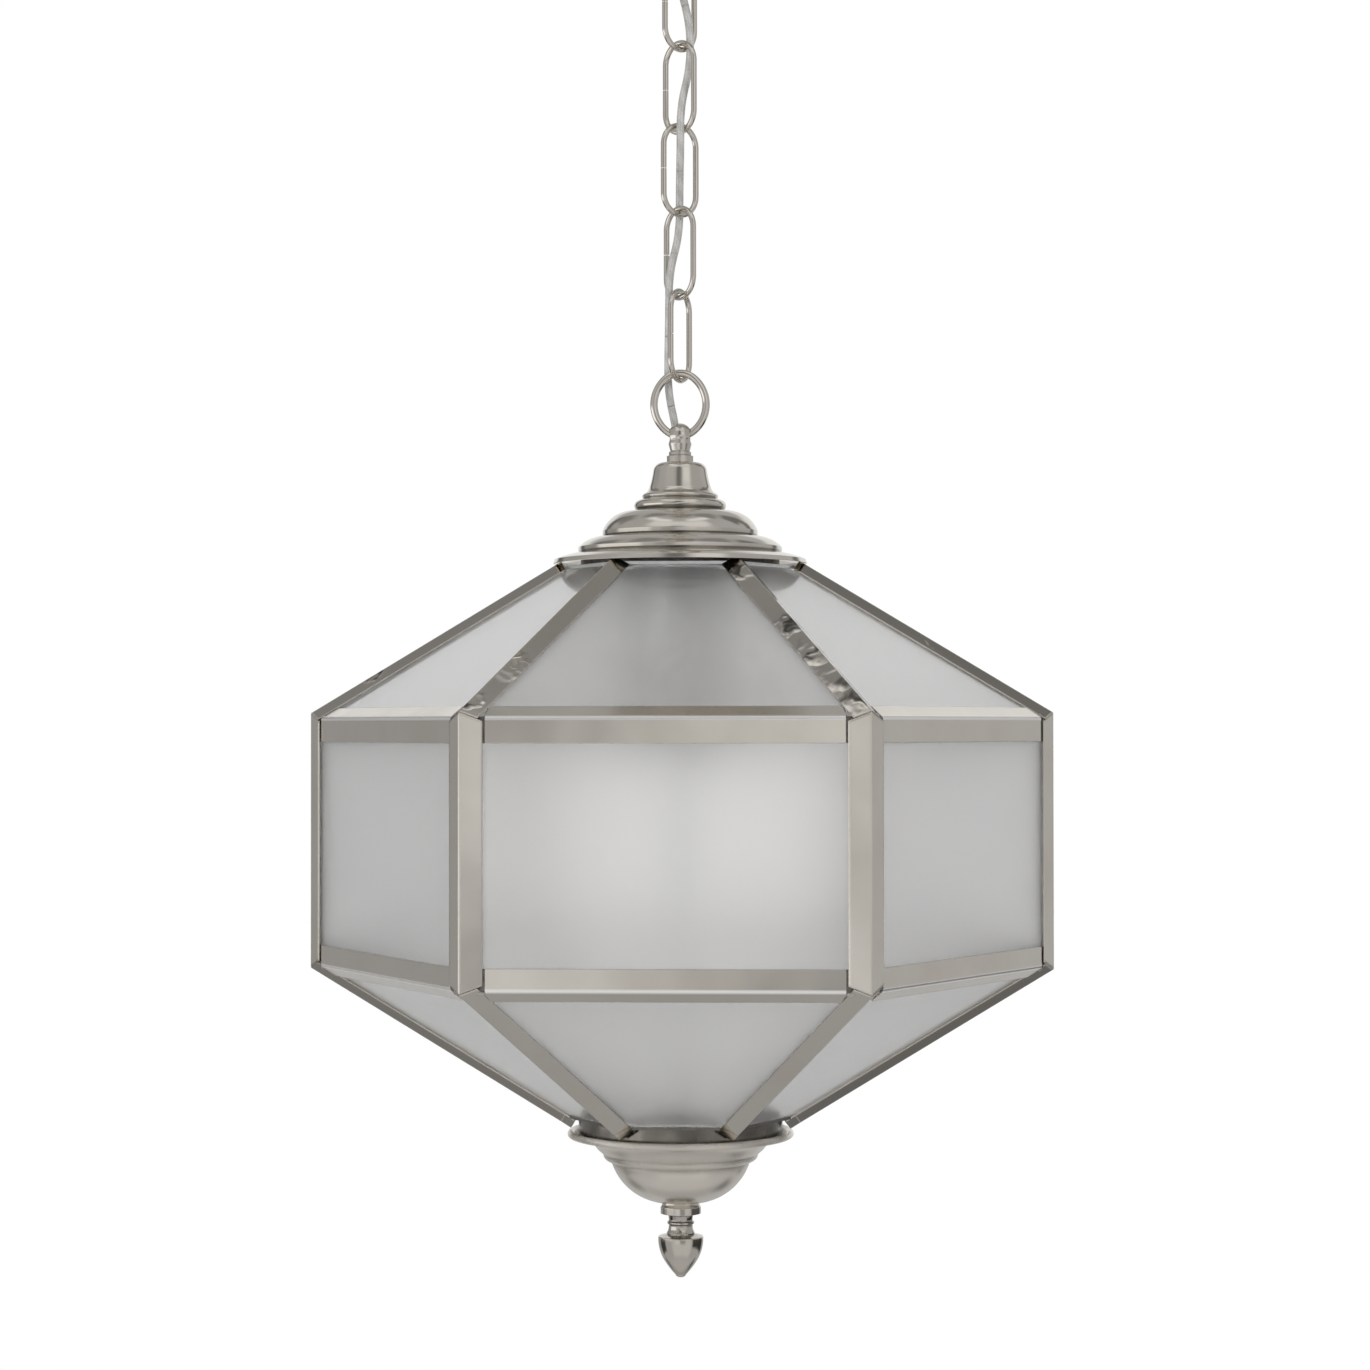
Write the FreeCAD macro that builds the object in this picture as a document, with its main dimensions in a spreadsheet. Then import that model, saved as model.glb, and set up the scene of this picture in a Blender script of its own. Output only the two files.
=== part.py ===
import FreeCAD, Part
import math
import os
from types import SimpleNamespace
import Sketcher

# Hexagonal glass lantern on a chain, hung from a ceiling fitting.
# Millimetres. The origin lies on the ceiling plane above the chain, +Z is up and -Y faces the viewer.

driving_sizes = {
    # ceiling fitting
    "canopy_radius": 55.0,
    "canopy_height": 30.0,
    "canopy_flat_radius": 20.0,
    "bracket_length": 84.0,
    "bracket_width": 18.0,
    "bracket_thickness": 2.0,
    "bracket_screw_spacing": 60.0,
    "bracket_screw_hole_radius": 2.5,
    "bracket_nut_height": 4.0,
    "stem_end_depth": 9.0,
    "terminal_length": 15.0,
    "terminal_width": 13.0,
    "terminal_height": 11.0,
    "grip_offset": 14.0,
    "grip_radius": 3.9,
    "grip_flange_radius": 5.4,
    "grip_flange_height": 2.4,
    "grip_depth": 9.0,
    # loop, chain and ring
    "collar_radius": 8.0,
    "collar_height": 12.0,
    "collar_edge": 0.8,
    "eye_radius": 8.6,
    "eye_wire_radius": 2.0,
    "eye_sink": 1.5,
    "link_length": 48.75,
    "link_width": 24.0,
    "link_wire_radius": 1.5,
    "link_butt_gap": 0.4,
    "chain_gap": 0.25,
    "ring_half_width": 13.35,
    "ring_half_height": 16.05,
    "ring_end_radius": 11.0,
    "ring_wire_radius": 1.95,
    "ball_radius": 6.4,
    "ball_stem_height": 13.8,
    "ball_disc_radius": 6.85,
    "ball_stud_length": 12.2,
    # threads, nuts and clearances
    "rod_radius": 5.0,
    "rod_bore_radius": 3.4,
    "thread_gap": 0.05,
    "hole_gap": 0.2,
    "seat_gap": 0.3,
    "face_gap": 0.1,
    "overrun": 5.0,
    "nut_across": 16.0,
    "nut_height": 5.0,
    "coupling_across": 13.0,
    "coupling_length": 20.0,
    "coupling_play": 0.4,
    # spun cap and dish
    "spun_wall": 1.0,
    "cap_radius": 65.0,
    "cap_height": 51.9,
    "dish_radius": 57.7,
    "dish_depth": 36.8,
    "dish_bead_radius": 1.8,
    "dish_hang": 6.2,
    "finial_radius": 11.5,
    "finial_length": 38.3,
    "finial_bore_depth": 15.0,
    "thread_engagement": 5.0,
    # cord
    "flex_radius": 2.0,
    "bush_radius": 3.0,
    "bush_bore_gap": 0.15,
    "bush_offset": 10.3,
    "bush_side": 1.5,
    "bush_proud": 2.6,
    "bush_depth": 5.5,
    # folded strips of the cage
    "cage_radius": 190.0,
    "belt_height": 130.0,
    "neck_radius": 65.0,
    "roof_rise": 75.2,
    "floor_drop": 76.0,
    "ridge_lift": 0.3,
    "strip_wall": 0.8,
    "strip_half_fold": 56.0,
    "post_leg": 11.0,
    "rail_leg": 11.5,
    "hip_leg": 9.0,
    "hip_end_radius": 61.0,
    "rail_end_gap": 2.0,
    # glass
    "glass_thickness": 3.0,
    "glass_gap": 0.1,
    "pane_inset": 2.0,
    "pane_side_gap": 2.2,
    "pane_top_apothem": 53.0,
    "pane_snip_width": 9.0,
    "pane_snip_height": 7.0,
    # plates at the two necks
    "plate_radius": 60.5,
    "plate_thickness": 1.5,
    "access_radius": 45.0,
    "strap_width": 12.0,
    "lip_radius": 52.0,
    "wire_hole_radius": 3.0,
    "wire_hole_offset": 15.0,
    # lamps
    "cluster_radius": 37.0,
    "lamp_offset": 24.0,
    "lamp_azimuth": -75.0,
    "holder_radius": 12.0,
    "holder_length": 25.0,
    "holder_bore_radius": 7.3,
    "holder_floor": 5.0,
    "holder_stud_radius": 4.8,
    "lamp_cap_radius": 6.9,
    "lamp_cap_length": 19.0,
    "bulb_radius": 17.5,
    "bulb_length": 75.0,
}

link_count = 5
side_count = 6
lamp_count = 3
full_turn = 360.0
# turn of each link's plane about the vertical, seen from above, with the loop first
eye_yaw = -43.0
link_yaws = (47.0, -44.0, 41.0, -47.0, 65.5)
# ends of an edge in a sketch, and the middle of a round one
edge_start, edge_end, edge_centre = 1, 2, 3

face_share = math.cos(math.pi / side_count)        # apothem of a hexagon over its corner radius
half_side_share = math.tan(math.pi / side_count)   # half a side over the apothem
terminal_place_share = 0.29                        # place of the terminal block along the ceiling screws' spacing

# outlines of the turned and spun pieces, as shares of their radius and height.
# A third value is the radius of the arc that leads to the point: above zero it turns left.
canopy_shares = (
    (0.49, 0.83, 0.16),
    (0.52, 0.79),
    (0.91, 0.29, 0.42),
    (0.955, 0.27),
    (1.0, 0.19, 0.05),
)
cap_shares = (
    (0.145, 0.0),
    (0.212, 0.082, -0.0704),
    (0.244, 0.252, 0.9),
    (0.275, 0.303, 0.09),
    (0.300, 0.330, -0.028),
    (0.292, 0.353, -0.028),
    (0.330, 0.373),
    (0.362, 0.419, -0.045),
    (0.350, 0.463, -0.045),
    (0.345, 0.486),
    (0.611, 0.676, -0.235),
    (0.611, 0.714),
    (0.604, 0.734),
    (0.802, 0.838, -0.25),
    (0.802, 0.870),
    (0.795, 0.892),
    (0.990, 0.958, -0.70),
)
dish_shares = (
    (0.190, 1.0),
    (0.612, 0.445, 0.515),
    (0.655, 0.413),
    (0.685, 0.330, 0.06),
    (0.735, 0.262),
    (0.936, 0.092, -0.243),
)
dish_ledge_share = 0.092
finial_shares = (
    (0.81, 0.0),
    (0.895, 0.06, 0.35),
    (0.895, 0.150),
    (0.56, 0.172),
    (0.53, 0.225, 1.0),
    (0.595, 0.262, 0.1),
    (0.595, 0.285),
    (0.53, 0.320, 0.1),
    (0.55, 0.360, 1.0),
    (0.62, 0.405, 0.6),
    (0.62, 0.430),
    (0.97, 0.452),
    (1.0, 0.470, -0.05),
    (0.985, 0.560, -2.0),
    (0.74, 0.770, -1.9),
    (0.24, 0.965, -4.0),
    (0.0, 1.0, -0.2),
)
ball_neck_shares = (
    (0.88, 0.30),
    (0.75, 0.545),
    (0.75, 0.58),
    (0.84, 0.61),
    (0.84, 0.735),
    (1.0, 0.757),
)
holder_shares = (
    (0.72, 0.0),
    (1.0, 0.14, -0.32),
    (1.0, 0.90),
    (0.94, 0.96),
    (0.94, 1.0),
)
bulb_shares = (
    (0.42, 0.05),
    (0.95, 0.33, 2.6),
    (0.98, 0.52, -1.5),
    (0.62, 0.80, -2.6),
    (0.13, 0.985, -3.5),
    (0.0, 1.0, -0.2),
)
gable_share = 0.44          # fall of a post's end away from its ridge, over the sideways run
tab_share = 0.4             # part of a turned edge that is left flat

# the flex from the canopy down through the chain, behind the ball and into the cap
flex_route = (
    (0.0, 14.0, -24.0),
    (0.0, 14.0, -38.0),
    (0.0, 5.8, -54.0),
    (0.0, 5.8, -68.0),
    (5.4, 0.1, -89.5),
    (5.4, 0.1, -110.7),
    (0.6, -5.8, -132.0),
    (0.6, -5.8, -153.2),
    (-0.4, 5.9, -174.5),
    (-0.4, 5.9, -195.7),
    (-5.6, 0.0, -217.0),
    (-5.6, 0.0, -238.2),
    (-6.3, 4.8, -259.5),
    (-6.3, 4.8, -278.0),
    (-1.5, 10.3, -299.5),
    (-1.5, 10.3, -317.0),
)
bend_share = 0.45


class Measure:
    """A size with the rule of the sheet that gives it."""

    def __init__(self, value, rule):
        self.value = value
        self.rule = rule

    def joined(self, sign, other, value):
        return Measure(value, f"({self.rule} {sign} {as_measure(other).rule})")

    def __add__(self, other):
        return self.joined("+", other, self.value + as_measure(other).value)

    def __sub__(self, other):
        return self.joined("-", other, self.value - as_measure(other).value)

    def __mul__(self, other):
        return self.joined("*", other, self.value * as_measure(other).value)

    def __truediv__(self, other):
        return self.joined("/", other, self.value / as_measure(other).value)

    def __radd__(self, other):
        return as_measure(other) + self

    def __rsub__(self, other):
        return as_measure(other) - self

    def __rmul__(self, other):
        return as_measure(other) * self

    def __neg__(self):
        return Measure(-self.value, f"(0 - {self.rule})")

    def root(self):
        return Measure(math.sqrt(self.value), f"sqrt({self.rule})")

    def cosine(self):
        return Measure(math.cos(math.radians(self.value)), f"cos({self.rule})")

    def sine(self):
        return Measure(math.sin(math.radians(self.value)), f"sin({self.rule})")


def as_measure(number):
    return number if isinstance(number, Measure) else Measure(float(number), f"{float(number):.9f}")


zero = as_measure(0)
document = FreeCAD.newDocument("PendantLantern")
parts = []


def fill_sheet():
    """Writes the driving sizes into the sheet and reads them back with their rules."""
    sheet = document.addObject("Spreadsheet::Sheet", "Sizes")
    for row, (alias, amount) in enumerate(driving_sizes.items(), start=1):
        sheet.set(f"A{row}", alias)
        sheet.set(f"B{row}", str(amount))
        sheet.setAlias(f"B{row}", alias)
    document.recompute()
    return SimpleNamespace(**{alias: Measure(float(sheet.get(alias)), f"Sizes.{alias}") for alias in driving_sizes})


size = fill_sheet()


def new_body(label):
    """Starts a sub-part whose label is also the name of its file."""
    body = document.addObject("PartDesign::Body", label)
    body.Label = label
    body.AllowCompound = True
    parts.append(body)
    return body


def origin_feature(body, role):
    return next(feature for feature in body.Origin.OriginFeatures if feature.Role == role)


def new_sketch(body, plane, label):
    sketch = body.newObject("Sketcher::SketchObject", f"{body.Name}_{label}")
    sketch.AttachmentSupport = [(origin_feature(body, plane), "")]
    sketch.MapMode = "FlatFace"
    return sketch


def place_body(body, base, azimuth=0.0):
    """Sets a body at its place, bound to the sheet, turned about the vertical."""
    body.Placement = FreeCAD.Placement(
        FreeCAD.Vector(*(as_measure(part).value for part in base)),
        FreeCAD.Rotation(FreeCAD.Vector(0, 0, 1), azimuth),
    )
    for letter, part in zip("xyz", base):
        if isinstance(part, Measure):
            body.setExpression(f"Placement.Base.{letter}", part.rule)


def bind(sketch, constraints):
    """Adds constraints, and ties each one that has a rule to the sheet."""
    places = sketch.addConstraint([constraint for constraint, rule in constraints])
    for place, (constraint, rule) in zip(places, constraints):
        if rule:
            sketch.setExpression(f"Constraints[{place}]", rule)


def pin(edge, end, point):
    """Constraints that hold one end of an edge, or a centre, at a point."""
    held = []
    for kind, place, axis in (("DistanceX", point[0], -2), ("DistanceY", point[1], -1)):
        place = as_measure(place)
        if abs(place.value) < 1e-7:
            held.append((Sketcher.Constraint("PointOnObject", edge, end, axis), None))
        elif place.value > 0:
            held.append((Sketcher.Constraint(kind, -1, 1, edge, end, place.value), place.rule))
        else:
            held.append((Sketcher.Constraint(kind, edge, end, -1, 1, -place.value), (-place).rule))
    return held


def arc_between(start, end, radius):
    """Arc of less than half a turn from start to end, to the left where the radius is above zero."""
    chord = end - start
    reach = math.sqrt(radius ** 2 - (chord.Length / 2) ** 2)
    side = FreeCAD.Vector(-chord.y, chord.x, 0).normalize() * math.copysign(reach, radius)
    centre = (start + end) / 2 + side
    angles = [math.atan2(point.y - centre.y, point.x - centre.x) for point in (start, end)]
    if radius < 0:
        angles.reverse()
    circle = Part.Circle(centre, FreeCAD.Vector(0, 0, 1), abs(radius))
    return Part.ArcOfCircle(circle, *angles)


def arc_into(point):
    """Radius of the arc that leads to a point, or nothing where a straight edge does."""
    radius = point[2:]
    return as_measure(*radius) if radius else None


def outline(sketch, points, closed=True):
    """Draws straight edges and arcs from point to point, each point held by the sheet."""
    count = len(points)
    constraints = []
    first_edge = sketch.GeometryCount
    last_end = None
    for index in range(count if closed else count - 1):
        start, end = points[index], points[(index + 1) % count]
        corners = [FreeCAD.Vector(as_measure(p[0]).value, as_measure(p[1]).value, 0) for p in (start, end)]
        radius = arc_into(end)
        ends = [edge_start, edge_end]
        if radius is None:
            edge = sketch.addGeometry(Part.LineSegment(*corners))
        else:
            edge = sketch.addGeometry(arc_between(*corners, radius.value))
            bound = radius if radius.value > 0 else -radius
            constraints.append((Sketcher.Constraint("Radius", edge, bound.value), bound.rule))
            if radius.value < 0:
                ends.reverse()
        if last_end is None:
            first_end = ends[0]
            if not closed:
                constraints += pin(edge, ends[0], start)
        else:
            constraints.append((Sketcher.Constraint("Coincident", *last_end, edge, ends[0]), None))
        last_end = (edge, ends[1])
        constraints += pin(edge, ends[1], end)
    if closed:
        constraints.append((Sketcher.Constraint("Coincident", *last_end, first_edge, first_end), None))
    bind(sketch, constraints)


def circle(sketch, centre, radius):
    edge = sketch.addGeometry(
        Part.Circle(FreeCAD.Vector(*(as_measure(part).value for part in centre), 0),
                    FreeCAD.Vector(0, 0, 1), radius.value)
    )
    bind(sketch, pin(edge, edge_centre, centre) + [(Sketcher.Constraint("Radius", edge, radius.value), radius.rule)])


def rectangle(sketch, centre, width, height):
    left, right = centre[0] - width / 2, centre[0] + width / 2
    low, high = centre[1] - height / 2, centre[1] + height / 2
    outline(sketch, [(left, low), (right, low), (right, high), (left, high)])


def hexagon(sketch, corner_radius, turn=0.0):
    corners = []
    for side in range(side_count):
        angle = math.radians(turn + side * full_turn / side_count)
        corners.append((corner_radius * math.cos(angle), corner_radius * math.sin(angle)))
    outline(sketch, corners)


def pad(body, sketch, length, both_ways=False, downwards=False):
    feature = body.newObject("PartDesign::Pad", f"{sketch.Name}_pad")
    feature.Profile = sketch
    feature.setExpression("Length", as_measure(length).rule)
    feature.SideType = "Symmetric" if both_ways else "One side"
    feature.Reversed = downwards
    return feature


def pocket_through(body, sketch):
    """Cuts a sketch right through a body, both ways from its plane."""
    feature = body.newObject("PartDesign::Pocket", f"{sketch.Name}_cut")
    feature.Profile = sketch
    feature.SideType = "Two sides"
    feature.Type = "ThroughAll"
    feature.Type2 = "ThroughAll"
    return feature


def revolve(body, sketch, axis="V_Axis", cut=False):
    kind = "Groove" if cut else "Revolution"
    feature = body.newObject(f"PartDesign::{kind}", f"{sketch.Name}_turn")
    feature.Profile = sketch
    feature.ReferenceAxis = (sketch, [axis])
    feature.Angle = full_turn
    return feature


def turned(label, points):
    """A piece turned about the vertical from the outline of its half section."""
    body = new_body(label)
    sketch = new_sketch(body, "XZ_Plane", "section")
    outline(sketch, points)
    revolve(body, sketch)
    return body


def six_times(body, features):
    """Repeats features round the vertical axis."""
    pattern = body.newObject("PartDesign::PolarPattern", f"{body.Name}_ring")
    pattern.Originals = features
    pattern.Axis = (origin_feature(body, "Z_Axis"), [""])
    pattern.Angle = full_turn
    pattern.Occurrences = side_count
    body.Tip = pattern


def scaled(shares, radius, height, up=-1):
    """Outline points from shares, with the height measured up or down from zero."""
    points = []
    for share in shares:
        point = [share[0] * radius, up * share[1] * height]
        if len(share) > 2:
            point.append(share[2] * radius)
        points.append(tuple(point))
    return points


def inner_skin(points, wall, up):
    """The same outline one wall further in, walked backwards, with its arcs turned round."""
    skin = []
    radius = None
    for point in reversed(points):
        inner = [point[0] - wall, point[1] + up * wall]
        if radius is not None:
            inner.append(-radius)
        skin.append(tuple(inner))
        radius = arc_into(point)
    return skin


def hexagon_nut(body, label, across, height, low):
    """A pad with six flats and a threaded bore, its lower face at a height."""
    sketch = new_sketch(body, "XY_Plane", label)
    sketch.AttachmentOffset = FreeCAD.Placement(FreeCAD.Vector(0, 0, low.value), FreeCAD.Rotation())
    sketch.setExpression("AttachmentOffset.Base.z", low.rule)
    hexagon(sketch, across / 2 / face_share)
    circle(sketch, (zero, zero), size.rod_radius + size.thread_gap)
    return pad(body, sketch, height)


# heights, from the ceiling down
canopy_bottom = -size.canopy_height
collar_bottom = canopy_bottom - size.collar_height
eye_centre = collar_bottom - size.eye_radius - size.eye_wire_radius + size.eye_sink
first_contact = eye_centre - size.eye_radius + size.eye_wire_radius + size.chain_gap / 2
link_pitch = size.link_length - 4 * size.link_wire_radius - size.chain_gap
last_contact = first_contact - link_count * link_pitch
ring_centre = last_contact + size.chain_gap / 2 + size.ring_wire_radius - size.ring_half_height
ball_centre = ring_centre - size.ring_half_height
cap_top = ball_centre - size.ball_stem_height
cap_rim = cap_top - size.cap_height

# the glass lies where the edges of the hip strips meet it
leg_reach = size.hip_leg * size.strip_half_fold.sine() - size.strip_wall * size.strip_half_fold.cosine()
leg_drop = size.hip_leg * size.strip_half_fold.cosine() + size.strip_wall * size.strip_half_fold.sine()


def slopes_of(rise):
    """Slopes along a hip and down the middle of a face, and the glass's drop below the belt's edge."""
    hip = rise / (size.cage_radius - size.neck_radius)
    face = hip / face_share
    hip_slant = (hip * hip + 1).root()
    face_slant = (face * face + 1).root()
    ridge_height = leg_drop - hip * half_side_share / hip_slant * leg_reach + size.glass_gap
    return SimpleNamespace(hip=hip, face=face, hip_slant=hip_slant, face_slant=face_slant,
                           glass_drop=ridge_height * hip_slant - size.ridge_lift)


# 1 is the roof above the belt, and -1 the part below it
slopes = {1: slopes_of(size.roof_rise), -1: slopes_of(size.floor_drop)}
cap_seat_radius = size.cap_radius - size.spun_wall
belt_top = cap_rim - size.seat_gap - size.ridge_lift - (size.cage_radius - cap_seat_radius) * slopes[1].hip
belt_middle = belt_top - size.belt_height / 2
cage_apothem = size.cage_radius * face_share
rail_apothem = cage_apothem - size.strip_wall - size.face_gap
belt_glass_apothem = rail_apothem - size.strip_wall - size.glass_gap / 2


def glass_rise(up, apothem):
    """How far the sloping glass's outer face lies past the belt's edge, upwards or downwards."""
    return (cage_apothem - apothem) * slopes[up].face - slopes[up].glass_drop


neck_faces = {up: glass_rise(up, size.pane_top_apothem) + size.seat_gap for up in slopes}
dish_rim = belt_middle - size.belt_height / 2 - neck_faces[-1] - size.plate_thickness - size.dish_hang
dish_bottom = dish_rim - size.dish_depth
finial_top = dish_bottom - size.face_gap


def ceiling_bracket():
    body = new_body("ceiling_bracket")
    sketch = new_sketch(body, "XY_Plane", "strap")
    rectangle(sketch, (zero, zero), size.bracket_length, size.bracket_width)
    circle(sketch, (zero, zero), size.rod_radius + size.thread_gap)
    for side in (-1, 1):
        circle(sketch, (side * size.bracket_screw_spacing / 2, zero), size.bracket_screw_hole_radius)
    pad(body, sketch, size.bracket_thickness, downwards=True)


def stem_nipple():
    low = canopy_bottom - size.stem_end_depth
    body = new_body("stem_nipple")
    sketch = new_sketch(body, "XY_Plane", "tube")
    circle(sketch, (zero, zero), size.rod_radius)
    circle(sketch, (zero, zero), size.rod_bore_radius)
    pad(body, sketch, -low - size.face_gap)
    place_body(body, (zero, zero, low))


def bracket_nut():
    body = new_body("bracket_nut")
    low = -size.bracket_thickness - size.face_gap - size.bracket_nut_height
    hexagon_nut(body, "flats", size.nut_across, size.bracket_nut_height, low)


def ceiling_canopy():
    hole = size.rod_radius + size.hole_gap
    outer = [(size.canopy_flat_radius, canopy_bottom)] + scaled(canopy_shares, size.canopy_radius, size.canopy_height)
    points = [(hole, canopy_bottom)] + outer
    points += [(size.canopy_radius, zero), (size.canopy_radius - size.spun_wall, zero)]
    points += inner_skin(outer, size.spun_wall, 1)
    points += [(hole, canopy_bottom + size.spun_wall)]
    body = turned("ceiling_canopy", points)
    sketch = new_sketch(body, "XY_Plane", "flex_hole")
    circle(sketch, (zero, size.grip_offset), size.grip_radius + size.hole_gap)
    pocket_through(body, sketch)


def canopy_loop():
    """A threaded collar with a welded eye below it."""
    bore = size.rod_radius + size.thread_gap
    edge = size.collar_edge
    depth = canopy_bottom - size.stem_end_depth - size.seat_gap
    body = turned("canopy_loop", [
        (bore, canopy_bottom), (size.collar_radius - edge, canopy_bottom),
        (size.collar_radius, canopy_bottom - edge), (size.collar_radius, collar_bottom + edge),
        (size.collar_radius - edge, collar_bottom), (zero, collar_bottom), (zero, depth), (bore, depth),
    ])
    path = new_sketch(body, "XZ_Plane", "eye_path")
    left, low = -size.eye_radius, eye_centre - size.eye_radius
    right, high = size.eye_radius, eye_centre + size.eye_radius
    turn = size.eye_radius
    outline(path, [(left, eye_centre, turn), (zero, low, turn), (right, eye_centre, turn), (zero, high, turn)])
    wire_along(body, path, eye_centre, (left, zero), size.eye_wire_radius)
    place_body(body, (0, 0, 0), eye_yaw)


def wire_along(body, path, height, start, radius):
    """Round wire swept along a path that leaves a level plane upright."""
    ring = new_sketch(body, "XY_Plane", "wire")
    ring.AttachmentOffset = FreeCAD.Placement(FreeCAD.Vector(0, 0, height.value), FreeCAD.Rotation())
    ring.setExpression("AttachmentOffset.Base.z", height.rule)
    circle(ring, start, radius)
    sweep = body.newObject("PartDesign::AdditivePipe", f"{path.Name}_sweep")
    sweep.Profile = ring
    sweep.Spine = (path, [])


def terminal_block():
    top = -size.bracket_thickness - size.face_gap
    body = new_body("terminal_block")
    sketch = new_sketch(body, "XY_Plane", "block")
    rectangle(sketch, (size.bracket_screw_spacing * terminal_place_share, zero), size.terminal_length,
              size.terminal_width)
    pad(body, sketch, size.terminal_height, downwards=True)
    place_body(body, (zero, zero, top))


def cord_grip():
    """Plastic bush that holds the flex where it enters the canopy."""
    bore = size.flex_radius + size.bush_bore_gap
    body = turned("cord_grip", [
        (bore, -size.grip_flange_height), (size.grip_flange_radius - size.collar_edge, -size.grip_flange_height),
        (size.grip_flange_radius, -size.grip_flange_height + size.collar_edge),
        (size.grip_flange_radius, -size.face_gap), (size.grip_radius, -size.face_gap),
        (size.grip_radius, size.grip_depth), (bore, size.grip_depth),
    ])
    place_body(body, (zero, size.grip_offset, canopy_bottom))


def chain_link(number):
    """An oval of wire, closed by a butt joint on one side."""
    half_width = size.link_width / 2 - size.link_wire_radius
    half_length = size.link_length / 2 - size.link_wire_radius
    straight = half_length - half_width
    joint = size.link_butt_gap / 2
    body = new_body(f"chain_link_{number}")
    path = new_sketch(body, "XZ_Plane", "path")
    outline(path, [
        (-half_width, -joint), (-half_width, -straight), (zero, -half_length, half_width),
        (half_width, -straight, half_width), (half_width, straight), (zero, half_length, half_width),
        (-half_width, straight, half_width), (-half_width, joint),
    ], closed=False)
    wire_along(body, path, -joint, (-half_width, zero), size.link_wire_radius)
    contact = first_contact - (number - 1) * link_pitch
    centre = contact + size.chain_gap / 2 + 2 * size.link_wire_radius - size.link_length / 2
    place_body(body, (zero, zero, centre), link_yaws[number - 1])


def suspension_ring():
    """An oval ring of four arcs, two round the ends and two along the sides."""
    wide, high, tight = size.ring_half_width, size.ring_half_height, size.ring_end_radius
    rise = high - tight
    loose = (wide * wide + rise * rise - tight * tight) / (2 * (wide - tight))
    meet_x = tight * (loose - wide) / (loose - tight)
    meet_y = rise * loose / (loose - tight)
    body = new_body("suspension_ring")
    path = new_sketch(body, "XZ_Plane", "path")
    outline(path, [
        (-wide, zero, loose), (-meet_x, -meet_y, loose), (meet_x, -meet_y, tight),
        (meet_x, meet_y, loose), (-meet_x, meet_y, tight),
    ])
    wire_along(body, path, zero, (-wide, zero), size.ring_wire_radius)
    place_body(body, (zero, zero, ring_centre))


def ball_loop():
    """Ball, collar and threaded stud turned in one piece, with a flared cross hole for the ring."""
    ball, disc = size.ball_radius, size.ball_disc_radius
    neck = scaled(ball_neck_shares, disc, size.ball_stem_height)
    waist_drop = (ball * ball - neck[0][0] * neck[0][0]).root()
    stud_end = size.ball_stem_height + size.ball_stud_length
    points = [(zero, ball), (neck[0][0], -waist_drop, -ball)] + neck
    points += [(disc, -size.ball_stem_height), (size.rod_radius, -size.ball_stem_height),
               (size.rod_radius, -stud_end), (zero, -stud_end)]
    points.insert(1, (ball, zero, -ball))
    body = turned("ball_loop", points)
    flare = size.ring_end_radius - size.ring_wire_radius - size.seat_gap
    reach = ball + size.face_gap
    mouth = size.ring_end_radius - (flare * flare - reach * reach).root()
    hole = new_sketch(body, "XZ_Plane", "cross_hole")
    outline(hole, [(-reach, zero), (-reach, mouth), (reach, mouth, flare), (reach, zero)])
    revolve(body, hole, "H_Axis", cut=True)
    place_body(body, (zero, zero, ball_centre))


def cord_bush():
    bore = size.flex_radius + size.bush_bore_gap
    lead = size.bush_radius * tab_share
    body = turned("cord_bush", [
        (bore, -size.bush_depth), (size.bush_radius, -size.bush_depth), (size.bush_radius, size.bush_proud - lead),
        (size.bush_radius - lead / 2, size.bush_proud), (bore, size.bush_proud),
    ])
    place_body(body, (-size.bush_side, size.bush_offset, cap_top))


def top_cap():
    """Spun cap in stepped rings, open below."""
    hole = size.rod_radius + size.hole_gap
    outer = scaled(cap_shares, size.cap_radius, size.cap_height)
    points = [(hole, zero)] + outer + [(size.cap_radius, -size.cap_height)]
    points += [(size.cap_radius - size.spun_wall, -size.cap_height)] + inner_skin(outer, size.spun_wall, -1)
    points += [(hole, -size.spun_wall)]
    body = turned("top_cap", points)
    sketch = new_sketch(body, "XY_Plane", "flex_hole")
    circle(sketch, (-size.bush_side, size.bush_offset), size.bush_radius + size.hole_gap)
    feature = body.newObject("PartDesign::Pocket", "flex_hole_cut")
    feature.Profile = sketch
    feature.SideType = "Symmetric"
    feature.setExpression("Length", (size.bush_depth * 4).rule)
    place_body(body, (zero, zero, cap_top))


def coupling_nut():
    """Long nut that joins the stud to the centre rod and clamps the cap."""
    body = new_body("coupling_nut")
    low = cap_top - size.spun_wall - size.face_gap - size.coupling_length
    hexagon_nut(body, "flats", size.coupling_across, size.coupling_length, low)


def roof_plate():
    body = new_body("roof_plate")
    sketch = new_sketch(body, "XY_Plane", "plate")
    hexagon(sketch, size.plate_radius)
    circle(sketch, (zero, zero), size.rod_radius + size.hole_gap)
    for lamp in range(lamp_count):
        angle = math.radians(lamp * full_turn / lamp_count)
        circle(sketch, (size.wire_hole_offset * math.cos(angle), size.wire_hole_offset * math.sin(angle)),
               size.wire_hole_radius)
    pad(body, sketch, size.plate_thickness)
    place_body(body, (zero, zero, belt_top + neck_faces[1]))


def centre_rod():
    top = ball_centre - size.ball_stem_height - size.ball_stud_length - size.coupling_play
    low = finial_top - size.thread_engagement
    body = new_body("centre_rod")
    sketch = new_sketch(body, "XY_Plane", "tube")
    circle(sketch, (zero, zero), size.rod_radius)
    circle(sketch, (zero, zero), size.rod_bore_radius)
    pad(body, sketch, top - low)
    place_body(body, (zero, zero, low))


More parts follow.
